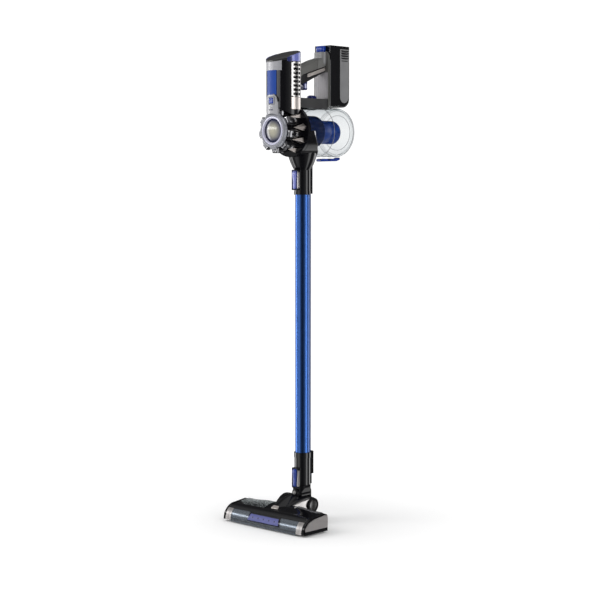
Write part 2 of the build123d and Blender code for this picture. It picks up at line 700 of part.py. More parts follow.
def fan_motor():
    can = rod_z(24, 971, 1030, 0, HOUSING_Y) + rod_z(35.9, 971, 974, 0, HOUSING_Y)
    can = can - rod_z(20.5, 974, 1027, 0, HOUSING_Y) - rod_z(SHAFT_R + FIT, 900, 1100, 0, HOUSING_Y)
    for k in range(6):
        spot = Rot(0, 0, 60 * k) * Pos(29, 0, 0)
        can = can - Pos(0, HOUSING_Y, 972) * spot * Cylinder(3.2, 20)
    return can


def fan_rotor():
    shaft = rod_z(SHAFT_R, 958, 1034, 0, HOUSING_Y)
    gap = rod_z(15, 970, 1030, 0, HOUSING_Y) - rod_z(6, 970, 1030, 0, HOUSING_Y)
    rotor = rod_z(19.8, 978, 1022, 0, HOUSING_Y) - (gap - rod_z(30, 996, 1004, 0, HOUSING_Y))
    wheel = rod_z(29, 959, 961, 0, HOUSING_Y)
    fan = join(shaft, rotor, wheel)
    for k in range(9):
        spot = Pos(0, HOUSING_Y, 964) * Rot(0, 0, 40 * k) * Pos(17, 0, 0)
        fan = fan + spot * Rot(0, 0, 24) * Box(22, 1.4, 7)
    return fan


def premotor_filter():
    return rod_z(33, 953.4, 957.4, 0, HOUSING_Y)


def exhaust_filter():
    return rod_z(34, 1036, 1046, 0, HOUSING_Y)


def power_button():
    return block(-6.5, 6.5, -101.6, -97, 954.2, 967.8)


# ------------------------------------------------------------ handle and dock

def beam_line(y):
    """Height of the handle's lower edge."""
    return 1007.0 + (y - 2.0) * 27.0 / 64.0


def handle_beam():
    points = [(-28, 996), (2, 1007), (DOCK_FRONT, beam_line(DOCK_FRONT)),
              (DOCK_FRONT, beam_line(DOCK_FRONT) + 18), (2, 1028), (-28, 1018)]
    beam = slab_x(points, -BEAM_HALF, BEAM_HALF)
    beam = beam - rod_z(HOUSING_R + 0.02, 900, 1100, 0, HOUSING_Y)
    return beam - block(-6.4, 6.4, -7, 10.6, 980, 1019.5)


def handle_grip():
    points = [(-28, 1018), (2, 1028), (DOCK_FRONT, beam_line(DOCK_FRONT) + 18), (DOCK_FRONT, 1063),
              (40, 1063), (2, 1048), (-28, 1034)]
    grip = slab_x(points, -BEAM_HALF - 1, BEAM_HALF + 1)
    grip = fillet(grip.edges().filter_by_position(Axis.Z, 1047, 1064).filter_by(GeomType.LINE), 3.0)
    return grip - rod_z(HOUSING_R + 0.02, 900, 1100, 0, HOUSING_Y)


def trigger():
    side = [(-2, 991), (0, 989), (8, 989), (10, 992), (8.5, 998), (10, 1004), (10, 1018), (-2, 1018)]
    return slab_x(side, -6, 6)


def battery_dock():
    panel = block(-DOCK_HALF, DOCK_HALF, DOCK_FRONT, DOCK_BACK, DOCK_BOTTOM, DOCK_TOP)
    boss = block(-13, 13, 53, DOCK_FRONT, 1063, 1086)
    boss = fillet(boss.edges().filter_by(Axis.Z).filter_by_position(Axis.Y, 52, 54), 6.0)
    dock = join(panel, boss) - cyclone_space()
    return dock - block(-9.0, 9.0, 55.0, DOCK_BACK - 1.2, 1073, 1100)


def dock_bridge():
    """The beam over the dust bin that ties the motor housing to the dock."""
    bridge = block(-BRIDGE_HALF, BRIDGE_HALF, -28, DOCK_FRONT, 940, BRIDGE_TOP)
    bridge = bridge - cyclone_space() - rod_z(HOUSING_R + 0.02, 900, 1100, 0, HOUSING_Y)
    return bridge - block(-8.4, 8.4, 19.6, 42.4, 963.5, 1000)


def bin_release():
    return block(-8, 8, 20, 42, 966.2, 978)


def battery_release():
    return block(-8.6, 8.6, 55.4, DOCK_BACK - 1.6, 1076, 1092.6)


def battery_shape(inset):
    """The battery's outer form, drawn in by a wall."""
    half = BATTERY_HALF - inset
    case = block(-half, half, BATTERY_FRONT + inset, BATTERY_BACK - inset,
                 DOCK_BOTTOM + inset, DOCK_TOP - inset)
    heel = case.edges().filter_by(Axis.X).group_by(Axis.Y)[-1].sort_by(Axis.Z)[0]
    return fillet(heel, 20 - inset)


def battery_case():
    case = battery_shape(0)
    uprights = case.edges().filter_by(Axis.Z).group_by(Axis.Y)[-1]
    case = fillet(uprights, 6.0)
    case = case - battery_shape(BATTERY_WALL)
    boss = rod_y(5.0, BATTERY_BACK - JACK_LENGTH, BATTERY_BACK - 1, 0, JACK_Z)
    return case + boss - rod_y(JACK_R, BATTERY_BACK - JACK_LENGTH, BATTERY_BACK + 1, 0, JACK_Z)


def battery_cells():
    cells = []
    for x in (-10.2, 10.2):
        for k in range(3):
            cells.append(rod_z(CELL_R, 1012, 1077, x, 82.5 + 20 * k))
    return group(cells)


def battery_panels():
    low, high, front, back = 963.0, 1090.0, 101.0, 130.0
    r = (back - front) / 2
    mid = (front + back) / 2
    panel = block(BATTERY_HALF, BATTERY_HALF + 0.8, front, back, low + r, high - 4)
    panel = panel + rod_x(r, BATTERY_HALF, BATTERY_HALF + 0.8, mid, low + r)
    for k in range(4):
        z = 1066 + 5.5 * k
        panel = panel - block(0, 60, front + 3, back + 5, z - 1, z + 1)
    return both_sides(panel)


PIECES = {
    "sole_plate": sole_plate, "head_cover": head_cover, "neck_hood": neck_hood, "pivot_caps": pivot_caps,
    "deck_panels": deck_panels, "front_visor": front_visor, "visor_end_bands": visor_end_bands,
    "led_lens": led_lens, "led_board": led_board, "end_caps": end_caps, "end_plates": end_plates,
    "floor_strips": floor_strips, "brush_motor": brush_motor,
    "motor_pulley": motor_pulley, "drive_belt": drive_belt, "brush_core": brush_core,
    "brush_bristles": brush_bristles, "brush_bearings": brush_bearings, "wheel_axles": wheel_axles,
    "rear_wheel_left": lambda: rear_wheel(-1), "rear_wheel_right": lambda: rear_wheel(1),
    "head_screws": head_screws, "pitch_yoke": pitch_yoke, "roll_pins": roll_pins,
    "elbow_collar": elbow_collar, "lower_latch": lambda: latch(LOWER_LATCH_Z),
    "wand_tube": wand_tube, "wiring_channel": wiring_channel, "wand_wires": wand_wires,
    "intake_duct": intake_duct, "upper_latch": lambda: latch(UPPER_LATCH_Z),
    "bezel_ring": bezel_ring, "mirror_dome": mirror_dome, "cyclone_body": cyclone_body,
    "cone_caps": cone_caps, "mesh_shroud": mesh_shroud, "dust_core": dust_core,
    "dust_bin": dust_bin, "bin_lid": bin_lid, "lid_latch": lid_latch,
    "motor_housing": motor_housing, "housing_cap": housing_cap, "front_strip": front_strip,
    "front_inlay": front_inlay, "vent_strips": vent_strips, "fan_motor": fan_motor,
    "fan_rotor": fan_rotor, "premotor_filter": premotor_filter, "exhaust_filter": exhaust_filter,
    "power_button": power_button, "handle_beam": handle_beam, "handle_grip": handle_grip,
    "trigger": trigger, "battery_dock": battery_dock, "dock_bridge": dock_bridge,
    "bin_release": bin_release, "battery_release": battery_release, "battery_case": battery_case,
    "battery_cells": battery_cells, "battery_panels": battery_panels,
}

os.makedirs("parts", exist_ok=True)
for name, make in PIECES.items():
    export_step(Pos(0, WAND_Y, 0) * make(), f"parts/{name}.step")
print(len(PIECES), "pieces written")
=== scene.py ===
"""Looks for the cordless stick vacuum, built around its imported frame."""
import math

import bmesh
import bpy
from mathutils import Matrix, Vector


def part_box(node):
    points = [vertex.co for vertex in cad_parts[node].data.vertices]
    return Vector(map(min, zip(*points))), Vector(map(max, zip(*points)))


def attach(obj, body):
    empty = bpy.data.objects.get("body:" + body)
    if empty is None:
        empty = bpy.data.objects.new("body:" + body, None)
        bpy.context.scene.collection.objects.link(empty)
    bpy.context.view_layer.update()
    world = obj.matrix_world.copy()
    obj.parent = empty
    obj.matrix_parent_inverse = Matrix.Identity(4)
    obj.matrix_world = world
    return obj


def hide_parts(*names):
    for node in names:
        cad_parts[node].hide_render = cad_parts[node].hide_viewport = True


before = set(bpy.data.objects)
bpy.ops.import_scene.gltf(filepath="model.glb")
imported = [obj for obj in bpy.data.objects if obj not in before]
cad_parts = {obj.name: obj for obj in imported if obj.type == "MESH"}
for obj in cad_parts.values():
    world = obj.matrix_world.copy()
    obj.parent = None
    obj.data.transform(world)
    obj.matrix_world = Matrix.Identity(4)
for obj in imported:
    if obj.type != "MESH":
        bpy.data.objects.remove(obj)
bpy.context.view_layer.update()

MM = 0.001
wand_low, wand_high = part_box("wand_tube")
WAND_Y = (wand_low.y + wand_high.y) / 2 / MM


def at(x, y, z):
    """A point in millimetres about the wand's axis, as a scene position."""
    return Vector((x, y + WAND_Y, z)) * MM


CYCLONE = (0.0, 895.0)      # x and z of the cyclone's axis
DOME_R = 28.0

# ------------------------------------------------------------------ materials

def new_material(name):
    material = bpy.data.materials.new(name)
    material.use_nodes = True
    tree = material.node_tree
    return material, tree, tree.nodes["Principled BSDF"]


def set_inputs(tree, node, inputs):
    """Gives a node's inputs, by name or number, a value or another node's output."""
    for key, value in dict(inputs).items():
        if isinstance(value, bpy.types.NodeSocket):
            tree.links.new(value, node.inputs[key])
        else:
            node.inputs[key].default_value = value


def add_node(tree, kind, inputs=()):
    node = tree.nodes.new("ShaderNode" + kind)
    set_inputs(tree, node, inputs)
    return node


def object_coordinates(tree):
    return add_node(tree, "TexCoord").outputs["Object"]


def calculate(tree, operation, *values):
    node = add_node(tree, "Math")
    node.operation = operation
    set_inputs(tree, node, enumerate(values))
    return node.outputs["Value"]


def vector_maths(tree, operation, *values):
    """A vector math node's output, which is a number for a length."""
    node = add_node(tree, "VectorMath")
    node.operation = operation
    set_inputs(tree, node, enumerate(values))
    return node.outputs["Value" if operation == "LENGTH" else "Vector"]


def map_range(tree, value, first, last, low=0.0, high=1.0):
    """Carries the range from first to last onto the one from low to high."""
    inputs = {"Value": value, "From Min": first, "From Max": last, "To Min": low, "To Max": high}
    return add_node(tree, "MapRange", inputs).outputs["Result"]


def noise_node(tree, scale, detail=3.0, stretch=None):
    """Smooth noise over the object, with an optional stretch along its axes."""
    source = object_coordinates(tree)
    if stretch:
        source = add_node(tree, "Mapping", {"Vector": source, "Scale": stretch}).outputs["Vector"]
    inputs = {"Vector": source, "Scale": scale, "Detail": detail}
    return add_node(tree, "TexNoise", inputs).outputs["Fac"]


def spread(tree, noise, low, high):
    """Maps the middle of a noise's range onto a narrower one."""
    return map_range(tree, noise, 0.3, 0.7, low, high)


def add_bump(tree, shader, height, strength, distance):
    bump = add_node(tree, "Bump", {"Height": height, "Strength": strength, "Distance": distance})
    tree.links.new(bump.outputs["Normal"], shader.inputs["Normal"])


def mix_colours(tree, factor, first, second):
    node = add_node(tree, "Mix")
    node.data_type = "RGBA"
    set_inputs(tree, node, {"Factor": factor, "A": (*first, 1), "B": (*second, 1)})
    return node.outputs["Result"]


def varied(tree, noise, colour, share):
    """A colour that turns a share darker and lighter with a noise."""
    darker = [c * (1 - share) for c in colour]
    lighter = [min(1, c * (1 + share)) for c in colour]
    return mix_colours(tree, noise, darker, lighter)


def ramp_node(tree, source, stops, interpolation="LINEAR"):
    """A ramp through (position, colour) pairs."""
    ramp = add_node(tree, "ValToRGB", {"Fac": source})
    ramp.color_ramp.interpolation = interpolation
    elements = ramp.color_ramp.elements
    elements[0].position, elements[1].position = stops[0][0], stops[-1][0]
    for position, _ in stops[1:-1]:
        elements.new(position)
    for element, (position, colour) in zip(elements, stops):
        element.position = position
        element.color = (*colour, 1)
    return ramp.outputs["Color"]


def moulded(name, colour, rough, coat=0.0, grain=900.0, depth=0.06, shine=0.5):
    """Moulded plastic: fine grain in the surface, slight colour and gloss changes."""
    material, tree, shader = new_material(name)
    wide = noise_node(tree, 35.0)
    set_inputs(tree, shader, {"Base Color": varied(tree, wide, colour, 0.12),
                              "Roughness": spread(tree, wide, rough * 0.85, rough * 1.15),
                              "Coat Weight": coat, "Coat Roughness": 0.05, "Specular IOR Level": shine})
    add_bump(tree, shader, noise_node(tree, grain, 2.0), depth, 0.0002)
    return material


def metal(name, colour, rough, stretch=None, flakes=0.1):
    """Metal or metallic paint, with fine flakes or brushing."""
    material, tree, shader = new_material(name)
    fine = noise_node(tree, 1600.0, 2.0, stretch)
    set_inputs(tree, shader, {"Base Color": varied(tree, fine, colour, flakes), "Metallic": 1.0,
                              "Roughness": spread(tree, fine, rough * 0.8, rough * 1.2)})
    add_bump(tree, shader, fine, 0.015, 0.0001)
    return material


# Real plastic bends light far more, but the bin's thin wall then shows dark flecks.
BIN_IOR = 1.008


def clear(name):
    """Clear plastic, painted grey towards its edges as shade where it is seen edge on, with faint
    moulding ripples.
    """
    material, tree, shader = new_material(name)
    rim = add_node(tree, "LayerWeight", {"Blend": 0.3}).outputs["Facing"]
    # Painted shade: the tint greys where the surface is seen edge on.
    tint = mix_colours(tree, rim, (0.985, 0.99, 0.99), (0.5, 0.53, 0.55))
    set_inputs(tree, shader, {"Base Color": tint, "Transmission Weight": 1.0, "IOR": BIN_IOR,
                              "Roughness": spread(tree, noise_node(tree, 60.0), 0.03, 0.06)})
    return material


def dome_reflection_paint():
    """A painted reflection on the dome: a dark blue rim that clears to a warm grey middle."""
    material, tree, shader = new_material("dome_reflection_paint")
    offset = vector_maths(tree, "SUBTRACT", object_coordinates(tree), at(CYCLONE[0], 0, CYCLONE[1]))
    shares = (1 / (DOME_R * MM), 0, 1 / (DOME_R * MM))
    distance = vector_maths(tree, "LENGTH", vector_maths(tree, "MULTIPLY", offset, shares))
    warped = calculate(tree, "MULTIPLY_ADD", noise_node(tree, 60.0), 0.12, distance)
    # Painted reflection: light in the middle, dark towards the rim.
    stops = [(0.0, (0.42, 0.4, 0.31)), (0.45, (0.3, 0.29, 0.24)), (0.78, (0.1, 0.1, 0.12)),
             (0.9, (0.012, 0.016, 0.05)), (1.0, (0.006, 0.01, 0.05))]
    set_inputs(tree, shader, {"Base Color": ramp_node(tree, warped, stops), "Roughness": 0.12})
    return material


def halftone():
    """Pale dots on dark gloss that thin out towards the front of the head."""
    material, tree, shader = new_material("halftone_deck")
    place = object_coordinates(tree)
    dots = add_node(tree, "TexVoronoi")
    dots.voronoi_dimensions = "2D"
    set_inputs(tree, dots, {"Vector": place, "Scale": 270.0, "Randomness": 0.25})
    depth = add_node(tree, "SeparateXYZ", {"Vector": place}).outputs["Y"]
    size = map_range(tree, depth, at(0, -98, 0).y, at(0, -55, 0).y, 0.1, 0.46)
    inside = calculate(tree, "LESS_THAN", dots.outputs["Distance"], size)
    tint = mix_colours(tree, inside, (0.008, 0.01, 0.012), (0.72, 0.78, 0.78))
    set_inputs(tree, shader, {"Base Color": tint, "Roughness": 0.22})
    return material


black_gloss = moulded("black_gloss", (0.003, 0.003, 0.004), 0.1, grain=500, depth=0.01, shine=0.4)
black_plastic = moulded("black_plastic", (0.008, 0.008, 0.009), 0.3, shine=0.4)
dark_grey = moulded("dark_grey_soft", (0.024, 0.024, 0.025), 0.4, depth=0.2, shine=0.4)
soft_grey = moulded("soft_grey", (0.085, 0.085, 0.08), 0.45, depth=0.25)
satin_grey = moulded("satin_grey", (0.2, 0.205, 0.23), 0.28, coat=0.15)
strip_grey = moulded("strip_grey", (0.27, 0.27, 0.29), 0.28, coat=0.2)
panel_grey = moulded("panel_grey", (0.17, 0.17, 0.175), 0.35, coat=0.1)
blue_gloss = moulded("blue_gloss", (0.008, 0.035, 0.25), 0.24, depth=0.02)
core_blue = moulded("core_blue", (0.003, 0.03, 0.19), 0.36, depth=0.02, shine=0.25)
navy_gloss = moulded("navy_gloss", (0.006, 0.012, 0.09), 0.14, coat=0.3, depth=0.02)
inlay_blue = moulded("inlay_blue", (0.008, 0.045, 0.25), 0.36, depth=0.02, shine=0.2)
violet_blue = moulded("violet_blue", (0.07, 0.09, 0.36), 0.22, coat=0.3, depth=0.02)
shroud_blue = moulded("shroud_blue", (0.008, 0.018, 0.085), 0.25, coat=0.3)
silver_paint = metal("silver_paint", (0.42, 0.4, 0.395), 0.36, flakes=0.14)
gunmetal = metal("gunmetal", (0.17, 0.19, 0.22), 0.24, flakes=0.15)
chrome = metal("chrome", (0.5, 0.49, 0.48), 0.24, flakes=0.02)
anodised_blue = metal("anodised_blue", (0.04, 0.105, 0.33), 0.3, stretch=(1, 1, 0.03), flakes=0.03)
steel = metal("steel", (0.5, 0.5, 0.52), 0.3)
bronze = metal("bronze", (0.55, 0.36, 0.16), 0.35)
rubber = moulded("rubber", (0.015, 0.015, 0.015), 0.7, depth=0.3)
felt = moulded("felt", (0.04, 0.04, 0.042), 0.95, grain=1400, depth=0.8)
bristle_blue = moulded("bristle_blue", (0.03, 0.05, 0.2), 0.5, grain=2000, depth=0.4)
fleece = moulded("filter_fleece", (0.75, 0.75, 0.72), 0.95, grain=1500, depth=0.8)
red_wire = moulded("red_wire", (0.35, 0.01, 0.01), 0.4)
circuit_green = moulded("circuit_green", (0.01, 0.09, 0.03), 0.35, coat=0.4)
cell_wrap = moulded("cell_wrap", (0.02, 0.25, 0.16), 0.3, coat=0.3)
clear_plastic = clear("clear_plastic")
mirror_trim = dome_reflection_paint()
speckled = halftone()
deck_grey = metal("deck_grey", (0.42, 0.42, 0.44), 0.3, flakes=0.2)
barrel_grey = metal("barrel_grey", (0.34, 0.33, 0.325), 0.3, flakes=0.12)
barrel_dark = metal("barrel_dark", (0.1, 0.1, 0.1), 0.26, flakes=0.1)
lens_violet = moulded("lens_violet", (0.075, 0.085, 0.27), 0.42, depth=0.01)
lens_dark = moulded("lens_dark", (0.02, 0.02, 0.06), 0.2, coat=0.4)
bright_silver = metal("bright_silver", (0.8, 0.8, 0.82), 0.18)
rose_silver = metal("rose_silver", (0.62, 0.57, 0.54), 0.36, flakes=0.1)
lavender = moulded("lavender", (0.13, 0.15, 0.42), 0.2, coat=0.4, depth=0.02)
perforated = moulded("perforated_blue", (0.003, 0.01, 0.05), 0.4, grain=1500, depth=0.5, shine=0.1)
lip_lilac = moulded("lip_lilac", (0.5, 0.5, 0.62), 0.22, coat=0.4, depth=0.02)
wedge_grey = metal("wedge_grey", (0.36, 0.33, 0.31), 0.36, flakes=0.1)
cone_grey = metal("cone_grey", (0.2, 0.2, 0.21), 0.24, flakes=0.1)
rear_grey = moulded("rear_grey", (0.12, 0.12, 0.115), 0.42, depth=0.2)
lid_edge_shade_grey = moulded("lid_edge_shade_grey", (0.42, 0.43, 0.45), 0.3)
housing_sheen_grey = moulded("housing_sheen_grey", (0.06, 0.06, 0.065), 0.2, coat=0.2)
slate = moulded("slate", (0.03, 0.036, 0.045), 0.3, coat=0.2)
seam_grey = moulded("seam_grey", (0.2, 0.2, 0.21), 0.4)
dock_grey = moulded("dock_grey", (0.24, 0.23, 0.245), 0.4, coat=0.1)
lilac = moulded("lilac", (0.55, 0.57, 0.78), 0.3, coat=0.2)

NODE_MATERIALS = {
    black_gloss: ["head_cover", "neck_hood", "end_caps", "elbow_collar", "intake_duct", "cyclone_body",
                  "motor_housing", "battery_case"],
    black_plastic: ["sole_plate", "pitch_yoke", "handle_beam"],
    dark_grey: ["housing_cap", "dock_bridge"],
    soft_grey: ["handle_grip", "battery_dock"],
    satin_grey: ["bezel_ring"],
    panel_grey: ["battery_panels"],
    strip_grey: ["front_strip"],
    inlay_blue: ["front_inlay"],
    silver_paint: ["pivot_caps", "deck_panels", "visor_end_bands", "end_plates", "cone_caps"],
    gunmetal: ["front_visor"],
    blue_gloss: ["brush_core", "lower_latch", "dust_core", "power_button",
                 "bin_release", "battery_release", "lid_latch"],
    violet_blue: ["led_lens", "upper_latch"],
    navy_gloss: ["trigger"],
    shroud_blue: ["mesh_shroud"],
    chrome: ["roll_pins", "vent_strips"],
    mirror_trim: ["mirror_dome"],
    anodised_blue: ["wand_tube", "wiring_channel"],
    steel: ["brush_motor", "motor_pulley", "wheel_axles", "head_screws", "fan_motor", "fan_rotor"],
    bronze: ["brush_bearings"],
    rubber: ["drive_belt", "rear_wheel_left", "rear_wheel_right"],
    felt: ["floor_strips"],
    bristle_blue: ["brush_bristles"],
    fleece: ["premotor_filter", "exhaust_filter"],
    red_wire: ["wand_wires"],
    circuit_green: ["led_board"],
    cell_wrap: ["battery_cells"],
    clear_plastic: ["dust_bin", "bin_lid"],
}


def paint(obj, material):
    obj.data.materials.clear()
    obj.data.materials.append(material)


for material, nodes in NODE_MATERIALS.items():
    for node in nodes:
        paint(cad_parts[node], material)


# ---------------------------------------------------------------- mesh making

def soften(obj, width=0.5, segments=3, angle=35):
    """Rounds an object's sharp edges a little, so that they catch the light."""
    bevel = obj.modifiers.new("soft_edges", "BEVEL")
    bevel.width = width * MM
    bevel.segments = segments
    bevel.limit_method = "ANGLE"
    bevel.angle_limit = math.radians(angle)
    bevel.harden_normals = True


def soften_node(node, width=0.4):
    """Joins a carried-over part's flat triangles and rounds its edges."""
    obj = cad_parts[node]
    flat = obj.modifiers.new("flat_faces", "DECIMATE")
    flat.decimate_type = "DISSOLVE"
    flat.angle_limit = math.radians(0.6)
    soften(obj, width, 2, 40)


def add_piece(name, bm, body, material, replaces=(), sharp=35, soft=None):
    """Turns a bmesh into a finished piece that rides on a body; soft is what soften takes."""
    bmesh.ops.recalc_face_normals(bm, faces=bm.faces)
    mesh = bpy.data.meshes.new(name)
    bm.to_mesh(mesh)
    bm.free()
    obj = bpy.data.objects.new(name, mesh)
    bpy.context.collection.objects.link(obj)
    for face in mesh.polygons:
        face.use_smooth = True
    mesh.set_sharp_from_angle(angle=math.radians(sharp))
    paint(obj, material)
    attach(obj, body)
    if replaces:
        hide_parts(*replaces)
    if soft:
        soften(obj, *soft)
    return obj


def skin(rings, caps=True, bm=None):
    """A closed surface through rings of points, all with the same count."""
    bm = bm or bmesh.new()
    rows = [[bm.verts.new(at(*point)) for point in ring] for ring in rings]
    count = len(rows[0])
    for low, high in zip(rows, rows[1:]):
        for i in range(count):
            j = (i + 1) % count
            bm.faces.new((low[i], low[j], high[j], high[i]))
    if caps:
        bm.faces.new(list(reversed(rows[0])))
        bm.faces.new(rows[-1])
    return bm


def oriented(axis, a, b, along):
    """A point from its place along an axis and in the other two directions."""
    return {"X": (along, a, b), "Y": (a, along, b), "Z": (a, b, along)}[axis]


def placed(axis, centre, radius, angle, along):
    """A point around an axis; centre is the axis's place in the other two directions."""
    a = centre[0] + radius * math.cos(angle)
    b = centre[1] + radius * math.sin(angle)
    return oriented(axis, a, b, along)


def lathe(profile, axis, centre, steps=96, closed=False, bm=None):
    """Turns (radius, along) points about an axis. A radius of 0 becomes a single point."""
    bm = bm or bmesh.new()
    rows = []
    for radius, along in profile:
        if radius == 0:
            rows.append([bm.verts.new(at(*placed(axis, centre, 0, 0, along)))])
        else:
            rows.append([bm.verts.new(at(*placed(axis, centre, radius, 2 * math.pi * k / steps, along)))
                         for k in range(steps)])
    pairs = list(zip(rows, rows[1:]))
    if closed:
        pairs.append((rows[-1], rows[0]))
    for low, high in pairs:
        if len(low) == 1 and len(high) == 1:
            continue
        for i in range(steps):
            j = (i + 1) % steps
            if len(low) == 1:
                bm.faces.new((low[0], high[j], high[i]))
            elif len(high) == 1:
                bm.faces.new((low[i], low[j], high[0]))
            else:
                bm.faces.new((low[i], low[j], high[j], high[i]))
    return bm


def rounded(points, radius, steps=5):
    """A flat outline with its corners rounded; radius is one number or one per corner."""
    count = len(points)
    radii = radius if isinstance(radius, (list, tuple)) else [radius] * count
    outline = []
    for i, corner in enumerate(points):
        here = Vector(corner)
        before = Vector(points[i - 1]) - here
        after = Vector(points[(i + 1) % count]) - here
        cut = min(radii[i], before.length * 0.49, after.length * 0.49)
        if cut <= 0:
            outline.append(tuple(here))
            continue
        first = here + before.normalized() * cut
        last = here + after.normalized() * cut
        for k in range(steps + 1):
            t = k / steps
            point = first * (1 - t) ** 2 + here * (2 * t * (1 - t)) + last * t ** 2
            outline.append(tuple(point))
    return outline


def rectangle(left, right, low, high, radius, steps=5):
    """A rectangle's outline with rounded corners, from its lower left one round."""
    return rounded([(left, low), (right, low), (right, high), (left, high)], radius, steps)


def stack(layers, axis, caps=True, bm=None):
    """A skin over (outline, place) layers: (y, z) along X, (x, z) along Y, (x, y) along Z."""
    rings = [[oriented(axis, a, b, along) for a, b in outline] for outline, along in layers]
    return skin(rings, caps, bm)


def prism(outline, axis, low, high, bm=None):
    return stack([(outline, low), (outline, high)], axis, bm=bm)


def smoothstep(low, high, value):
    t = max(0.0, min(1.0, (value - low) / (high - low)))
    return t * t * (3 - 2 * t)


def span(low, high, steps):
    return [low + (high - low) * k / steps for k in range(steps + 1)]


def bounds_mm(node):
    """A CAD node's box, in millimetres about the wand's axis."""
    low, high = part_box(node)
    shift = Vector((0, WAND_Y, 0))
    return low / MM - shift, high / MM - shift


# ----------------------------------------------------------------- floor head

cover_low, cover_high = bounds_mm("head_cover")
COVER_HALF = cover_high.x
COVER_FRONT = cover_low.y
COVER_BACK = cover_high.y
COVER_TOP = cover_high.z
RIDGE_Y = COVER_BACK - 10
VISOR_Y = -98.0
VISOR_Z = 5.0
VISOR_R = 34.0
BROW_END = 112.0
FRONT_TOP = VISOR_Z + VISOR_R
PITCH_Y = -10.0
PITCH_Z = 42.0


def cover_height(x, y):
    """The head's top surface: a rising wedge with raised shoulders beside the neck."""
    if y < VISOR_Y:
        z = VISOR_Z + math.sqrt(VISOR_R ** 2 - (y - VISOR_Y) ** 2)
    elif y < RIDGE_Y:
        t = (y - VISOR_Y) / (RIDGE_Y - VISOR_Y)
        z = FRONT_TOP + (COVER_TOP - FRONT_TOP) * (0.75 * t + 0.25 * math.sin(t * math.pi / 2))
    else:
        t = (y - RIDGE_Y) / (COVER_BACK - RIDGE_Y)
        z = COVER_TOP - 7.5 * t ** 2.4
    side = abs(x)
    shoulder = smoothstep(96, 44, side) * smoothstep(-100, -74, y)
    shoulder *= smoothstep(COVER_BACK + 2, RIDGE_Y, y)
    ends = 1.2 * smoothstep(COVER_HALF - 9, COVER_HALF, side) ** 2
    return z + 3.6 * shoulder - ends


def add_sheet(name, rows, material, replaces, thickness, offset, sharp=35):
    """A piece of the head made as a sheet through rows of points, then thickened."""
    bm = bmesh.new()
    rows = [[bm.verts.new(at(*point)) for point in row] for row in rows]
    for left, right in zip(rows, rows[1:]):
        for i in range(len(left) - 1):
            bm.faces.new((left[i], right[i], right[i + 1], left[i + 1]))
    sheet = add_piece(name, bm, "floor_head", material, replaces, sharp)
    wall = sheet.modifiers.new("wall", "SOLIDIFY")
    wall.thickness = thickness * MM
    wall.offset = offset


def make_head_shell():
    """The glossy top cover as a thick curved sheet."""
    depths = span(COVER_FRONT, RIDGE_Y, 22)
    depths += [RIDGE_Y + (COVER_BACK - RIDGE_Y) * math.sin(t) for t in span(0.12, math.pi / 2, 9)]
    rows = [[(x, COVER_FRONT, cover_height(0, COVER_FRONT) - 1.6)]
            + [(x, y, cover_height(x, y)) for y in depths]
            + [(x, COVER_BACK, z) for z in (26.0, 18.0, cover_low.z)]
            for x in span(-COVER_HALF, COVER_HALF, 120)]
    add_sheet("head_shell", rows, black_gloss, ["head_cover"], 1.8, -1.0, 50)


def make_deck_panels():
    """Inlays on the head's top: speckled at the left of the neck, plain silver at its right."""
    for side, name, material, slot, first, front in ((-1, "left", speckled, "speckled_deck", 27, -97),
                                                     (1, "right", deck_grey, "silver_paint", 46, -66)):
        rows = []
        for x in span(first, COVER_HALF - 4, 50):
            edge = front + 10 * smoothstep(COVER_HALF - 26, COVER_HALF - 4, x) * (side < 0)
            places = [(edge, -0.3)] + [(y, 1.0) for y in span(edge + 0.3, COVER_BACK - 1.2, 22)]
            rows.append([(side * x, y, cover_height(x, y) + lift) for y, lift in places])
        replaces = ["deck_panels"] if side < 0 else []
        add_sheet(f"deck_panel_{name}", rows, material, replaces, 0.7, 0.0)


def arch_ring(y, half, low, high, steps=26, power=2.3):
    """A cross-section of the hood: a rounded arch on a flat base."""
    ring = []
    for angle in span(0, math.pi, steps):
        x = half * math.copysign(abs(math.cos(angle)) ** (2 / power), math.cos(angle))
        z = low + (high - low) * abs(math.sin(angle)) ** (2 / power)
        ring.append((x, y, z))
    return ring


# Sections along y of the hood's sides: y, near x, far x, low z, high z.
FLANK = [(-70, 21.5, 24.5, 42.0, 43.6), (-56, 21.2, 29, 39.5, 48.0), (-40, 21.2, 34, 36, 53.5),
         (-25, 21.2, 39, 31, 56.5), (-12, 21.2, 41.6, 27, 57.8)]
SHOULDER = [(-66, 19.5, 23.5, 43.2, 46.5), (-54, 19.8, 28, 47.6, 53.2), (-40, 20, 33, 52.8, 58.2),
            (-25, 20.6, 38, 56.0, 61.0), (-12, 21.2, 40.5, 57.2, 60.6), (-3, 21.2, 40.5, 55, 58.8)]


def make_hood():
    """The humped hood that leads from the head's top up to the neck."""
    rings = []
    for t in span(0, 1, 40):
        grow = math.sqrt(1 - (1 - min(1, t * 2.4)) ** 2)
        half = 10 + 16.4 * grow - 6.6 * smoothstep(0.45, 1, t)
        top = 40.5 + 25.2 * math.sin(t * math.pi / 2) ** 1.25 - 1.2 * smoothstep(0.96, 1, t)
        rings.append(arch_ring(-90.5 + 62.4 * t, half, 36.0 - 3.0 * t, top, 30, 2.15))
    add_piece("neck_hood_shell", skin(rings), "floor_head", black_gloss,
              ["neck_hood"], 60)


def make_nose_tab():
    """The small bright tab where the hood starts at the head's front."""
    nose = rounded([(-11, -93.5), (11, -93.5), (8.5, -86.5), (-8.5, -86.5)], 1.6, 3)
    rings = [[(x, y, cover_height(x, y) + lift + 0.45 * (y + 93.5) * (lift > 0)) for x, y in nose]
             for lift in (-1.0, 1.2)]
    add_piece("nose_tab", skin(rings), "floor_head", rose_silver, sharp=40,
              soft=(0.4, 2))


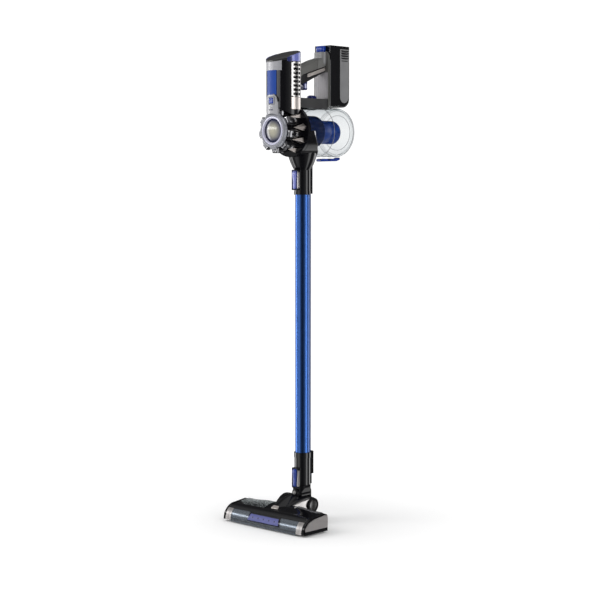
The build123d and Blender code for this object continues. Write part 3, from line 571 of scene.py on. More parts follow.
def make_hood_sides():
    """The grey flanks beside the hood and the glossy shoulders above them."""
    for name, sections, material, slot in (("hood_flanks", FLANK, barrel_grey, "silver_paint"),
                                           ("hood_shoulders", SHOULDER, black_gloss, "black_gloss")):
        bm = bmesh.new()
        for side in (-1, 1):
            skin([[(side * x, y, z) for x, z in rectangle(near, far, low, high, [0.4, 2.0, 2.6, 0.4], 4)]
                  for y, near, far, low, high in sections], bm=bm)
        add_piece(name, bm, "floor_head", material, sharp=50, soft=(0.6, 3, 50))


def make_pivots():
    """The round housings at the neck's pitch axis, each with a rim and a disc."""
    barrel = [(5.2, 21.2), (15.3, 21.2), (16.5, 22.4), (16.5, 40.6), (15.4, 42.0), (5.2, 42.0)]
    rim = [(12.2, 45.2), (15.6, 45.2), (16.8, 44.2), (16.8, 39.6), (16.4, 38.8), (12.2, 38.8)]
    disc = [(0, 44.4), (11.2, 44.4), (12.3, 43.9), (12.3, 41.9), (0, 41.9)]
    for name, profile, closed, material, slot, replaces, soft in (
            ("pivot_barrels", barrel, True, barrel_grey, "black_gloss", [], (0.5,)),
            ("pivot_rims", rim, True, black_gloss, "black_gloss", [], (0.3, 2)),
            ("pivot_discs", disc, False, barrel_dark, "silver_paint", ["pivot_caps"], None)):
        bm = bmesh.new()
        for side in (-1, 1):
            lathe([(r, side * x) for r, x in profile], "X", (PITCH_Y, PITCH_Z), 72, closed, bm)
        add_piece(name, bm, "floor_head", material, replaces, soft=soft)


def visor_strip(r_out, r_in, start, end, x_low, x_high, slant=0.0, steps=18):
    """A curved plate on the visor's ring; slant moves its upper corners inwards."""
    axis = (VISOR_Y, VISOR_Z)
    rings = []
    for k in range(steps + 1):
        angle = math.radians(start + (end - start) * k / steps)
        shift = slant * (1 - k / steps)
        y_out, z_out = axis[0] + r_out * math.cos(angle), axis[1] + r_out * math.sin(angle)
        y_in, z_in = axis[0] + r_in * math.cos(angle), axis[1] + r_in * math.sin(angle)
        rings.append([(x_low + shift, y_out, z_out), (x_high - shift, y_out, z_out),
                      (x_high - shift, y_in, z_in), (x_low + shift, y_in, z_in)])
    return skin(rings)


def visor_dot(bm, x, angle, radius=1.9, steps=20):
    """A small raised disc on the window."""
    turn = math.radians(angle)
    normal = Vector((0, math.cos(turn), math.sin(turn)))
    along = Vector((0, -math.sin(turn), math.cos(turn))) * radius
    across = Vector((radius, 0, 0))
    centre = Vector((x, VISOR_Y, VISOR_Z))
    turns = [2 * math.pi * k / steps for k in range(steps)]
    skin([[tuple(centre + normal * lift + across * math.cos(a) + along * math.sin(a)) for a in turns]
          for lift in (34.6, 34.98)], bm=bm)


def make_light_window():
    """A tinted window with five light points in it, in the visor's dark frame."""
    add_piece("light_frame", visor_strip(34.4, 32.6, 131.0, 168.6, -50.4, 53.0, 5.6), "floor_head",
              black_gloss, soft=(0.25, 2))
    add_piece("light_window", visor_strip(34.9, 33.0, 139.0, 165.0, -49.0, 48.6, 5.2), "floor_head",
              lens_violet, ["led_lens"], soft=(0.4, 3))
    bm = bmesh.new()
    for k in range(5):
        visor_dot(bm, -34 + 17.0 * k, 152)
    add_piece("light_points", bm, "floor_head", lens_dark)


def make_visor_edges():
    """The glossy brow over the visor and the dark skirt under it."""
    add_piece("cover_brow", visor_strip(34.5, 32.9, BROW_END - 2, 131.5, -COVER_HALF, COVER_HALF),
              "floor_head", black_gloss, soft=(0.3, 2))
    add_piece("visor_skirt", visor_strip(34.5, 33.0, 170.5, 179.6, -102.6, 102.6), "floor_head", slate,
              soft=(0.3, 2))


# ------------------------------------------------------------ latches, collars

def make_latch(name, node, body, material):
    """A pressed paddle, broad at the top and dished along its middle."""
    low, high = bounds_mm(node)
    height = high.z - low.z
    rings = []
    for t in span(0, 1, 24):
        z = low.z + height * t
        half = 4.3 + 1.9 * smoothstep(0.3, 0.8, t)
        half *= math.sqrt(max(0.02, 1 - (abs(t - 0.5) * 2) ** 10))
        face = low.y + 1.5 * math.sin(math.pi * min(1, t * 1.25)) - 0.2 * t
        face += 1.6 * (abs(t - 0.5) * 2) ** 8
        right = [(0.8 * half, face + 0.25, z), (half, face + 1.2, z), (half, high.y, z)]
        rings.append([(-x, y, z) for x, y, z in reversed(right)] + [(0, face, z)] + right)
    add_piece(name, skin(rings), body, material, [node], 60, (0.3, 2, 50))


def make_latch_trim(name, centre, body):
    """The light strip down the right side of a latch's frame, and the frame's navy border."""
    outline = rounded([(7.4, centre - 19), (10.4, centre - 19), (10.4, centre + 17),
                       (8.8, centre + 20)], 0.5)
    add_piece(name, prism(outline, "Y", -26.0, -20.5), body, silver_paint, soft=(0.4, 2))
    outline = rectangle(-6.9, 6.9, centre - 21, centre + 21.6, 1.6)
    add_piece(f"{name}_border", prism(outline, "Y", -26.4, -25.3), body, navy_gloss,
              soft=(0.4, 2))


def make_latch_foot():
    """The latch frame's tail below the lower latch."""
    bm = prism(rectangle(-8.5, 8.5, 80.5, 84, 0.5), "Y", -24.2, -14)
    add_piece("latch_foot", bm, "elbow", black_gloss, soft=(0.5, 2))


# ----------------------------------------------------------------- motor block

HOUSING_Y = -62.0
HOUSING_R = 38.5
TOP_FRONT = 1053.0      # height of the housing's top at its front
TOP_RISE = 25.0


def top_plane(y):
    """Height of the motor housing's sloping top."""
    return TOP_FRONT + (y - HOUSING_Y + HOUSING_R) * TOP_RISE / (2 * HOUSING_R)


def make_cap():
    """The dark sloping cap, rounded over its rim."""
    turns = [2 * math.pi * k / 96 for k in range(96)]
    rings = []
    for inset, drop in ((3, 6), (-0.1, 6), (-0.2, 5.2), (0.2, 3.4), (1.4, 1.7), (3.6, 0.5),
                        (7, 0.0), (16, -0.5)):
        radius = HOUSING_R - inset
        places = [(radius * math.cos(a), HOUSING_Y + radius * math.sin(a)) for a in turns]
        rings.append([(x, y, top_plane(y) - drop - 0.6) for x, y in places])
    add_piece("cap_shell", skin(rings), "hand_unit", dark_grey, ["housing_cap"], 60)


def sector_plate(r_out, r_in, start, end, low, high, steps=16, bm=None):
    """A curved plate on the housing; low and high give its edges' heights at (x, y)."""
    rings = []
    for degrees in span(start, end, steps):
        c, s = math.cos(math.radians(degrees)), math.sin(math.radians(degrees))
        outer, inner = (r_out * c, HOUSING_Y + r_out * s), (r_in * c, HOUSING_Y + r_in * s)
        corners = (outer, low), (outer, high), (inner, high), (inner, low)
        rings.append([(*place, height(*place)) for place, height in corners])
    return skin(rings, bm=bm)


def level(height):
    return lambda x, y: height


def make_corner_trims():
    """Violet trim pieces over the tops of the vent strips, each with a navy edge."""
    trims, edges = bmesh.new(), bmesh.new()
    for middle, side in ((0, 1), (180, -1)):
        sector_plate(HOUSING_R + 1.5, HOUSING_R - 2, middle - side * 25, middle + side * 25,
                     lambda x, y: 1050.5 + y * 0.04, lambda x, y: top_plane(y) - 1.2, bm=trims)
        sector_plate(HOUSING_R + 1.7, HOUSING_R - 2, middle - side * 34, middle - side * 17,
                     level(1047.5), lambda x, y: top_plane(y) - 2.4, bm=edges)
    add_piece("corner_trims", trims, "hand_unit", lavender, soft=(1.4, 4))
    add_piece("corner_trim_edges", edges, "hand_unit", navy_gloss, soft=(1.0, 3))


VENT_SLOTS = 8
VENT_PITCH = 9.2
VENT_BOTTOM = 971.5


def make_vents():
    """Bright side strips: a spine at the front, bars between the openings, a plain foot."""
    bars, feet, rims = bmesh.new(), bmesh.new(), bmesh.new()
    top = VENT_BOTTOM + VENT_SLOTS * VENT_PITCH
    for middle, side in ((0, 1), (180, -1)):
        def plate(first, last, low, high, bm, lift=1.4):
            sector_plate(HOUSING_R + lift, HOUSING_R - 0.4, middle + side * first, middle + side * last,
                         level(low), level(high), bm=bm)
        plate(-20, -13, VENT_BOTTOM, top, bars)
        plate(23, 27, VENT_BOTTOM, top, rims, 1.9)
        for k in range(VENT_SLOTS + 1):
            z = VENT_BOTTOM + k * VENT_PITCH
            plate(-13.2, 23.2, z - 2.0, z + 2.0, bars)
        plate(-20, 26, 942.0, VENT_BOTTOM - 2.4, feet)
    for name, bm, material, slot, replaces in (("vent_bars", bars, chrome, "chrome", ["vent_strips"]),
                                               ("vent_feet", feet, rose_silver, "silver_paint", []),
                                               ("vent_rims", rims, silver_paint, "silver_paint", [])):
        add_piece(name, bm, "hand_unit", material, replaces, soft=(0.6, 3))


def housing_front(x, radius):
    return HOUSING_Y - math.sqrt(radius ** 2 - x ** 2)


def make_front_band():
    """The light band over the inlay, under the housing's cap."""
    bm = sector_plate(HOUSING_R + 1.0, HOUSING_R - 1, -123, -52, level(1027.5),
                      lambda x, y: top_plane(y) - 6.0, 30)
    add_piece("front_band", bm, "hand_unit", strip_grey, ["front_strip"], soft=(0.7, 3))


def make_button_plate():
    """The plate round the power button, which runs down into the bezel ring."""
    rings = []
    for x in span(-19.5, 17.0, 36):
        top = 975.5 - 13 * abs((x + 1.25) / 18.3) ** 5
        low = CYCLONE[1] + math.sqrt(37.2 ** 2 - x ** 2)
        front = housing_front(x, 40.0)
        rings.append([(x, front, low), (x, front, top), (x, -90.5, top), (x, -90.5, low)])
    add_piece("button_plate", skin(rings), "hand_unit", strip_grey, sharp=40,
              soft=(0.8, 3))


def make_button_surround():
    """The dark arc beside the power button and the frame that the button sits in."""
    corners = (16.8, -101.8), (16.8, -94.0), (18.6, -94.0), (18.6, -101.8)
    rings = []
    for t in span(0, 1, 24):
        angle = math.radians(118 - 118 * t)
        rings.append([(1 + r * math.cos(angle), y, 958.5 + r * math.sin(angle)) for r, y in corners])
    add_piece("button_arc", skin(rings), "hand_unit", black_gloss, sharp=40,
              soft=(0.4, 2))
    well = rectangle(-9.6, 9.6, 951.6, 970.4, 4.6)
    hole = rectangle(-7.0, 7.0, 953.9, 968.1, 2.4)
    layers = [(hole, -98.2), (well, -98.2), (well, -102.3), (hole, -102.7), (hole, -98.2)]
    add_piece("button_frame", stack(layers, "Y", caps=False), "hand_unit", satin_grey)


def make_indicators():
    """The two small marks under the power button."""
    for k, x in enumerate((-3.4, 2.6)):
        mark = rounded([(x - 2.2, 939.6), (x + 2.0, 939.6), (x + 1.3, 943.0), (x - 1.4, 943.0)], 0.5, 2)
        bm = prism(mark, "Y", -102.5, -99.5)
        add_piece(f"indicator_{k + 1}", bm, "hand_unit", lens_dark)


def make_painted_housing_sheen():
    """A grey strip at the inlay's right, painted as the sheen on the black housing there."""
    # Painted highlight: grey in place of the gloss sheen on the black housing.
    bm = sector_plate(HOUSING_R + 0.5, HOUSING_R - 1, -69, -57, level(945), level(1027))
    add_piece("painted_housing_sheen", bm, "hand_unit", housing_sheen_grey, soft=(0.4, 2))


def make_power_button():
    low, high = bounds_mm("power_button")
    middle = (low.z + high.z) / 2
    front = low.y - 1.9
    layers = []
    for half, y in ((6.3, high.y), (6.4, front + 1.4), (6.2, front + 0.6), (5.6, front + 0.1),
                    (4.2, front), (2, front + 0.15)):
        square = rectangle(-half, half, -half, half, half * 0.34)
        layers.append(([(x, middle + z) for x, z in square], y))
    add_piece("power_key", stack(layers, "Y"), "power_button", blue_gloss,
              ["power_button"], 60)


# --------------------------------------------------------------------- cyclone

CONES = 9


def make_bezel():
    """The satin ring round the mirror dome, with a bright inner lip."""
    front = bounds_mm("bezel_ring")[0].y
    ring = [(31.4, 3.4), (31.8, 1.6), (33.4, 0.6), (35.4, 0.9), (37.6, 2.2), (38.7, 4.4),
            (38.7, 9.3), (31.4, 9.3)]
    lip = [(26.4, 3.4), (27.0, 1.2), (28.6, -0.4), (30.6, -0.3), (31.9, 0.9), (32.0, 4.0), (26.4, 5.2)]
    dome = [(27.3 * math.sin(a), 1.6 + 6.4 * (1 - math.cos(a))) for a in span(0.12, math.pi / 2, 14)]
    dome = [(0, 1.6)] + dome + [(27.3, 9.2), (0, 9.2)]
    for name, profile, closed, material, slot, replaces, sharp in (
            ("bezel", ring, True, satin_grey, "satin_grey", ["bezel_ring"], 60),
            ("bezel_lip", lip, True, lip_lilac, "silver_paint", [], 35),
            ("dome", dome, False, mirror_trim, "mirror_trim", ["mirror_dome"], 60)):
        bm = lathe([(r, front + y) for r, y in profile], "Y", CYCLONE, 128, closed)
        add_piece(name, bm, "hand_unit", material, replaces, sharp)


def around(layers, angle, bm):
    """Skins (outline, y) layers, drawn as (across, outwards), at an angle about the cyclone."""
    c, s = math.cos(angle), math.sin(angle)
    skin([[(CYCLONE[0] + out * c - across * s, y, CYCLONE[1] + out * s + across * c)
           for across, out in outline] for outline, y in layers], bm=bm)


def make_cone_details():
    """Grey cone ends with bright strips on their edges and steps, painted as highlights, pale wedges
    between them, bulges round the bezel.
    """
    ends, edges, wedges, bulges = bmesh.new(), bmesh.new(), bmesh.new(), bmesh.new()
    front = -92.6
    base = [(-10.2, 38.8), (-7.4, 49.8), (7.4, 49.8), (10.2, 38.8)]
    face = [(-8.4, 39.2), (-5.8, 47.6), (5.8, 47.6), (8.4, 39.2)]
    side = [(7.4, 39.0), (4.9, 47.9), (6.2, 48.6), (8.9, 39.6)]
    step = [(-5.4, 43.5), (-3.8, 49.6), (3.8, 49.6), (5.4, 43.5)]
    rim = [(-8.8, 44.5), (0, 52.5), (8.8, 44.5), (0, 40)]
    tip = [(-0.6, 39.6), (0, 40.6), (0.6, 39.6), (0, 38.4)]
    bulge = [(10.5 * math.cos(t), 37.0 + 5.2 * math.sin(t)) for t in span(0, math.pi, 12)]
    for k in range(CONES):
        angle = math.radians(-90 + 360 / CONES * k)
        around([(base, -80.0), (base, front + 3.4), (face, front)], angle, ends)
        # Painted highlights: bright strips on one side of each cone end and round its step.
        around([(side, front + 3.0), (side, front - 0.5)], angle, edges)
        around([(step, -71.5), (step, -66.0)], angle, edges)
        around([(tip, -70), (rim, -42.2)], angle + math.pi / CONES, wedges)
        around([(bulge, -96.6), (bulge, -92.8)], angle, bulges)
    for name, bm, material, slot, width in (("cone_ends", ends, cone_grey, "silver_paint", 0.9),
                                            ("cone_highlight_strips", edges, bright_silver, "silver_paint", 0.3),
                                            ("rim_wedges", wedges, wedge_grey, "silver_paint", 0.3),
                                            ("bezel_bulges", bulges, satin_grey, "satin_grey", 1.0)):
        replaces = ["cone_caps"] if bm is ends else []
        add_piece(name, bm, "hand_unit", material, replaces, soft=(width, 3))


def make_bin_cradle():
    """A dark half sleeve under the bin's front, with a bright bead along its sloping rim that is a
    painted highlight.
    """
    def ring(c, s, corners):
        return [(CYCLONE[0] + radius * c, y, CYCLONE[1] + radius * s) for radius, y in corners]

    sleeve, highlight_bead = [], []
    for t in span(0, 1, 60):
        angle = -math.pi * t
        back = -22 + 50 * math.sin(math.pi * t) ** 1.6
        turn = math.cos(angle), math.sin(angle)
        sleeve.append(ring(*turn, [(57.1, -34.4), (58.6, -34.4), (58.6, back), (57.1, back)]))
        # Painted highlight: the bright bead stands for the light along the sleeve's rim.
        highlight_bead.append(ring(*turn, [(57.2, back - 1.4), (59.2, back - 1.0), (59.4, back + 0.4),
                                 (57.2, back + 0.6)]))
    add_piece("bin_cradle", skin(sleeve), "hand_unit", black_gloss, sharp=50,
              soft=(0.3, 2, 60))
    add_piece("cradle_highlight_bead", skin(highlight_bead), "hand_unit", bright_silver, sharp=60)


def make_shroud():
    """The dark blue perforated shroud, rounded towards its rear."""
    low, high = bounds_mm("mesh_shroud")
    profile = [(35.5, low.y), (37.0, low.y), (37.0, high.y - 9)]
    profile += [(37.0 - 9.5 * math.sin(t) ** 2, high.y - 9 + 9 * math.sin(t))
                for t in span(0.2, math.pi / 2, 8)]
    profile += [(26.5, high.y), (26.5, high.y - 2), (34.5, high.y - 10)]
    add_piece("shroud", lathe(profile, "Y", CYCLONE, 128, True), "hand_unit", perforated,
              ["mesh_shroud"], 50)


# -------------------------------------------------------------------- dust bin

BIN_R = 56.5
BIN_SEAM = 46.8
HINGE = (115, 948.6)        # y and z of the lid's hinge
LEVER_PIN = (82, 833)       # y and z of the lever's pin


def make_bin():
    """The clear tube with a shallow seam round it, the lid's hinge lugs and the lever's ears."""
    low, high = bounds_mm("dust_bin")
    back = high.y - 5.5
    profile = [(54.3, low.y + 0.4), (54.7, low.y), (56.3, low.y), (BIN_R, low.y + 0.6),
               (BIN_R, BIN_SEAM - 0.9), (55.9, BIN_SEAM - 0.5), (55.9, BIN_SEAM + 0.5),
               (BIN_R, BIN_SEAM + 0.9), (BIN_R, back - 0.6), (56.0, back), (54.8, back),
               (54.3, back - 0.4)]
    bm = lathe(profile, "Y", CYCLONE, 160, closed=True)
    for side in (-1, 1):
        ear = rounded([(78, 840), (78, 832), (82, 829.6), (86, 832), (86, 840)], 2)
        prism(ear, "X", side * 8.6, side * 11, bm=bm)
        lug = rounded([(104, 945.6), (104, 951.2), (117, 951.2), (117, 945.6)], 2)
        prism(lug, "X", side * 6.1, side * 9.9, bm=bm)
    lathe([(0, -10), (1.2, -10), (1.2, 10), (0, 10)], "X", HINGE, 24, bm=bm)
    add_piece("bin_tube", bm, "dust_bin", clear_plastic, ["dust_bin"], 50)
    ring = [(BIN_R + 0.05, 46.2), (BIN_R + 0.35, 46.4), (BIN_R + 0.35, 47.2), (BIN_R + 0.05, 47.4),
            (55.95, 47.3), (55.95, 46.3)]
    add_piece("bin_seam", lathe(ring, "Y", CYCLONE, 160, True), "dust_bin", seam_grey)


def flatten_top(bm, height):
    """Presses everything above a height down to it."""
    for vert in bm.verts:
        vert.co.z = min(vert.co.z, height * MM)


def make_lid():
    """The domed clear lid, with a stepped inner ring and a rounded rim."""
    low, high = bounds_mm("bin_lid")
    y0, y1 = low.y + 3, high.y
    profile = [(0, y1 - 2.6), (36, y1 - 2.4), (38, y1 - 1.2), (39.4, y1 - 0.2), (41, y1), (51, y1 - 0.3),
               (54, y1 - 1.1), (55.9, y1 - 2.8), (56.4, y1 - 4.4), (56.4, y0), (53.6, y0),
               (53.4, low.y + 0.2), (51.2, low.y + 0.2), (51.0, y1 - 4.2), (49.5, y1 - 4.6),
               (0, y1 - 4.8)]
    bm = lathe(profile, "Y", CYCLONE, 160)
    flatten_top(bm, high.z - 1.4)
    lathe([(1.3, -5.5), (2.5, -5.5), (2.5, 5.5), (1.3, 5.5)], "X", HINGE, 32, True, bm)
    add_piece("lid_shell", bm, "bin_lid", clear_plastic, ["bin_lid"], 50)


def make_lid_rings():
    """Pale grey lines painted as the shade where the lid's wall is seen edge on."""
    low, high = bounds_mm("bin_lid")
    bm = bmesh.new()
    # Painted shade: grey rings where the clear wall is seen edge on.
    for radius, y, wide in ((56.2, low.y + 3.2, 0.45), (54.6, high.y - 1.4, 0.4),
                            (40.2, high.y - 0.4, 0.5), (50.6, high.y - 1.0, 0.3)):
        inner, outer = radius - wide, radius + 0.25
        ring = [(inner, y - 0.35), (outer, y - 0.35), (outer, y + 0.35), (inner, y + 0.35)]
        lathe(ring, "Y", CYCLONE, 128, True, bm)
    flatten_top(bm, high.z - 1.2)
    add_piece("lid_rings", bm, "bin_lid", lid_edge_shade_grey, sharp=50)


def make_core():
    """The blue cup behind the shroud, with a groove round its middle."""
    low, high = bounds_mm("dust_core")
    profile = [(24.8, low.y + 0.3), (27, low.y + 0.3), (27, low.y + 26), (26.4, low.y + 26.6),
               (26.4, low.y + 28), (27, low.y + 28.6)]
    profile += [(27 - 9 * (1 - math.cos(t)), high.y - 9 + 8.6 * math.sin(t))
                for t in span(0, math.pi / 2, 8)]
    profile += [(0, high.y), (0, high.y - 2), (16, high.y - 2.4), (24.8, high.y - 10)]
    add_piece("core_cup", lathe(profile, "Y", CYCLONE, 128, True), "hand_unit", core_blue,
              ["dust_core"], 50)


def make_lid_lever():
    """The lever under the bin that lets the lid go."""
    shape = rounded([(55, 829.4), (57, 827.8), (108, 829.2), (118.5, 832.4), (119.2, 837.8),
                     (118.0, 837.8), (116.4, 835.6), (100, 835.2), (60, 834.4), (55.4, 832.8)], 0.8, 3)
    layers = [([(y + (84 - y) * 0.02 * shrink, z + (832.5 - z) * 0.15 * shrink) for y, z in shape], x)
              for x, shrink in ((-8.6, 0.8), (-7.6, 0.3), (-5, 0.0), (5, 0.0), (7.6, 0.3), (8.6, 0.8))]
    bm = stack(layers, "X")
    lathe([(0, -10.8), (1.4, -10.8), (1.4, 10.8), (0, 10.8)], "X", LEVER_PIN, 24, bm=bm)
    add_piece("lid_lever", bm, "lid_latch", blue_gloss, ["lid_latch"], 40)


# -------------------------------------------------------------- handle, battery

GRIP_SEAM = 36.4
HANDLE_FRONT = -28
HANDLE_LOW = 1016.0
HANDLE_RISE = 28.0
HANDLE_LENGTH = 92.0
KNOB_TOP = 1078
WELL_FLOOR = 1072.6


def handle_line(y):
    """Height of the handle's sloping middle line, where the soft grip starts."""
    return HANDLE_LOW + (y - HANDLE_FRONT) * HANDLE_RISE / HANDLE_LENGTH


def grip_section(y, inset=0.0):
    low = handle_line(y) + inset
    high = 1040.5 + 25 * smoothstep(-34, 60, y) - 2.0 * smoothstep(40, 64, y) - inset
    half = 13.2 - 0.8 * math.sin(math.pi * smoothstep(-10, 60, y)) - inset
    corner = 6.5 - inset
    return [(x, y, z) for x, z in rectangle(-half, half, low, high, [0.8, 0.8, corner, corner], 6)]


def make_grip():
    """The soft upper half of the handle, in a front and a rear piece with a curved seam."""
    front = [grip_section(y) for y in span(-23.4, GRIP_SEAM - 1.0, 24)]
    tongue = [grip_section(y, 1.2) for y in (GRIP_SEAM - 1.5, GRIP_SEAM + 0.4)]
    rear = tongue + [grip_section(y) for y in span(GRIP_SEAM + 0.4, 63.4, 12)]
    for name, rings, material, replaces in (("grip_front", front, soft_grey, ["handle_grip"]),
                                            ("grip_rear", rear, rear_grey, [])):
        piece = add_piece(name, skin(rings), "hand_unit", material, replaces, 50)
        for vert in piece.data.vertices:
            height = vert.co.z / MM - 1030
            y = vert.co.y / MM - WAND_Y
            near_seam = 1 - min(1, abs(y - GRIP_SEAM) / 14)
            vert.co.y += 0.0042 * height * height * (y > 20) * near_seam * MM


def make_handle_strips():
    """A bright strip along each side of the handle, with a dark line above it."""
    for name, first, last, drop, height, out, material, slot, soft in (
            ("handle_strips", 3, 62.5, -8.6, 8.0, 13.9, rose_silver, "silver_paint", (0.9, 3)),
            ("handle_lines", -14, 63, -0.2, 1.8, 13.7, black_gloss, "black_gloss", (0.3, 2))):
        bm = bmesh.new()
        for side in (-1, 1):
            near, far = side * 11.0, side * out
            rings = []
            for y in span(first, last, 20):
                z = handle_line(y) + drop
                rings.append([(near, y, z), (far, y, z), (far, y, z + height), (near, y, z + height)])
            skin(rings, bm=bm)
        add_piece(name, bm, "hand_unit", material, soft=soft)


def make_dock_details():
    """The dock's front panel with its ribs, and a pale strip where the battery meets it, painted as the
    highlight along that joint.
    """
    outline = rounded([(-23, 953), (23, 953), (23, 1072), (15, 1080), (-15, 1080), (-23, 1072)],
                      [2, 2, 8, 6, 6, 8], 6)
    add_piece("dock_panel", prism(outline, "Y", 63.5, 67.5), "hand_unit", soft_grey,
              ["battery_dock"], soft=(1.2, 3))
    bm = bmesh.new()
    for k in range(6):
        x = -15 + 6 * k
        rib = rounded([(x - 1.6, 63.6), (x - 1.0, 62.7), (x + 1.0, 62.7), (x + 1.6, 63.6)], 0.4, 3)
        prism(rib, "Z", 972.5, 1030, bm=bm)
    backing = rounded([(-19.5, 64.2), (-19.5, 63.0), (20.5, 63.0), (20.5, 64.2)], 0.3, 2)
    prism(backing, "Z", 971.5, 1031, bm=bm)
    add_piece("dock_ribs", bm, "hand_unit", dock_grey)
    # Painted highlight: a bright strip along the joint of battery and dock.
    seam = prism([(-23.6, 67.2), (-23.6, 68.6), (24.6, 68.6), (24.6, 67.2)], "Z", 954, 1060)
    add_piece("battery_joint_highlight", seam, "hand_unit", bright_silver)


def make_release_knob():
    """The rounded knob on the dock, with a well that the battery release moves in."""
    layers = []
    for t in span(0, 1, 24):
        swell = math.sqrt(max(0.0, 1 - (1 - min(1, t * 1.6)) ** 2))
        half, depth = 11 + 4.4 * swell, 52.6 + 9.4 * (1 - swell)
        layers.append((rectangle(-half, half, 67.2, depth, [0.5, 0.5, 7, 7], 6), 1046 + 31 * t))
    well = rectangle(-12.0, 12.0, 66.9, 54.4, [0.4, 0.4, 4.5, 4.5], 6)
    layers += [(well, KNOB_TOP), (well, WELL_FLOOR)]
    add_piece("release_knob", stack(layers, "Z"), "hand_unit", panel_grey, sharp=45)


def make_battery_slots():
    """Dark slots across the tops of the battery's side panels."""
    low, high = bounds_mm("battery_panels")
    bm = bmesh.new()
    for side in (-1, 1):
        for k in range(5):
            z = high.z - 7 - 5.2 * k
            slot = rectangle(low.y + 4.5, high.y - 3.0, z, z + 2.1, 0.9, 3)
            prism(slot, "X", side * (high.x - 0.5), side * (high.x + 0.35), bm=bm)
    add_piece("battery_slots", bm, "battery", black_plastic)


def make_battery_release():
    low, high = bounds_mm("battery_release")
    top = high.z - 0.6
    layers = []
    for z, shrink in ((low.z + 0.3, 1.6), (KNOB_TOP - 0.4, 1.2), (KNOB_TOP + 1.2, 0.3), (top - 5, 0.0),
                      (top - 2, 0.5), (top - 0.5, 1.6), (top, 3.6)):
        half = 11.4 - shrink
        layers.append((rectangle(-half, half, 66.2, 55.0 + shrink, [0.6, 0.6, 4.4, 4.4]), z))
    add_piece("release_key", stack(layers, "Z"), "battery_release", blue_gloss,
              ["battery_release"], 50)


def make_bin_release():
    low, high = bounds_mm("bin_release")
    layers = []
    for z, shrink in ((low.z, 0.2), (high.z - 5, 0.0), (high.z - 2.4, 0.9), (high.z - 0.8, 2.6),
                      (high.z, 5.2)):
        half = high.x - shrink
        layers.append((rectangle(-half, half, low.y + shrink, high.y - shrink, half * 0.8, 6), z))
    add_piece("bin_key", stack(layers, "Z"), "bin_release", navy_gloss,
              ["bin_release"], 50)


def make_trigger():
    outline = rounded([(-2, 1017), (-2, 991), (0.5, 989), (8, 989), (10, 991.5), (8.6, 999), (10, 1005),
                       (10, 1017)], [0.3, 1.5, 1.5, 2, 2, 4, 3, 0.3], 5)
    add_piece("trigger_key", prism(outline, "X", -6, 6), "trigger", navy_gloss,
              ["trigger"], soft=(1.2, 4))
    pad = rounded([(1.2, 1003), (1.2, 992.8), (7.0, 992.8), (6.2, 999), (7.2, 1003)], 1.2, 3)
    bm = bmesh.new()
    for side in (-1, 1):
        prism(pad, "X", side * 5.9, side * 6.35, bm=bm)
    add_piece("trigger_pads", bm, "trigger", lilac)


make_head_shell()
make_deck_panels()
make_hood()
make_nose_tab()
make_hood_sides()
make_pivots()
make_light_window()
make_visor_edges()
make_latch("latch_lower", "lower_latch", "lower_latch", blue_gloss)
make_latch("latch_upper", "upper_latch", "upper_latch", lavender)
make_latch_trim("latch_trim_lower", 101.5, "elbow")
make_latch_trim("latch_trim_upper", 785.5, "hand_unit")
make_latch_foot()
make_cap()
make_corner_trims()
make_vents()
make_front_band()
make_button_plate()
make_button_surround()
make_indicators()
make_painted_housing_sheen()
make_power_button()
make_bezel()
make_cone_details()
make_shroud()
make_bin_cradle()
make_bin()
make_lid()
make_lid_rings()
make_core()
make_lid_lever()
make_grip()
make_handle_strips()
make_dock_details()
make_release_knob()
make_battery_slots()
make_battery_release()
make_bin_release()
make_trigger()

for node, width in (("sole_plate", 0.5), ("end_caps", 0.8), ("end_plates", 1.0), ("front_visor", 0.4),
                    ("visor_end_bands", 0.5), ("elbow_collar", 1.0), ("intake_duct", 0.9),
                    ("wand_tube", 0.3), ("wiring_channel", 0.9), ("cyclone_body", 0.6),
                    ("motor_housing", 0.5), ("front_inlay", 0.3), ("handle_beam", 2.0),
                    ("dock_bridge", 0.8), ("battery_case", 1.5), ("battery_panels", 0.35),
                    ("pitch_yoke", 0.6)):
    soften_node(node, width)


# ---------------------------------------------------------------- scene: stage

CAMERA_AZIMUTH = 43.18
CAMERA_DISTANCE = 3.435
CAMERA_HEIGHT = 0.776
AIM_HEIGHT = 0.511
AIM_SIDE = -0.0055
LENS = 90.1


def make_floor():
    """A white seamless floor that glows less near the vacuum, so that its shadow shows."""
    bpy.ops.mesh.primitive_plane_add(size=60, location=(0, 0, -0.0004))
    floor = bpy.context.object
    floor.name = "floor"
    floor.visible_glossy = False
    material, tree, shader = new_material("floor_white")
    reach = vector_maths(tree, "LENGTH", object_coordinates(tree))
    tint = mix_colours(tree, noise_node(tree, 1.5), (0.93, 0.93, 0.93), (0.95, 0.95, 0.95))
    set_inputs(tree, shader, {"Base Color": tint, "Roughness": 0.6, "Specular IOR Level": 0.0,
                              "Emission Color": (1, 1, 1, 1),
                              "Emission Strength": map_range(tree, reach, 0.15, 0.6, 0.05, 0.33)})
    paint(floor, material)


def area_light(name, place, target, size, power, mirrored=False):
    data = bpy.data.lights.new(name, "AREA")
    data.shape = "RECTANGLE"
    data.size, data.size_y = size
    data.energy = power
    lamp = bpy.data.objects.new(name, data)
    bpy.context.collection.objects.link(lamp)
    lamp.location = place
    lamp.visible_glossy = mirrored
    lamp.rotation_euler = (Vector(target) - Vector(place)).to_track_quat("-Z", "Y").to_euler()


def grey_ramp(tree, source, bands):
    """A smooth ramp of grey levels, given as (position, level) pairs."""
    return ramp_node(tree, source, [(position, (level,) * 3) for position, level in bands], "EASE")


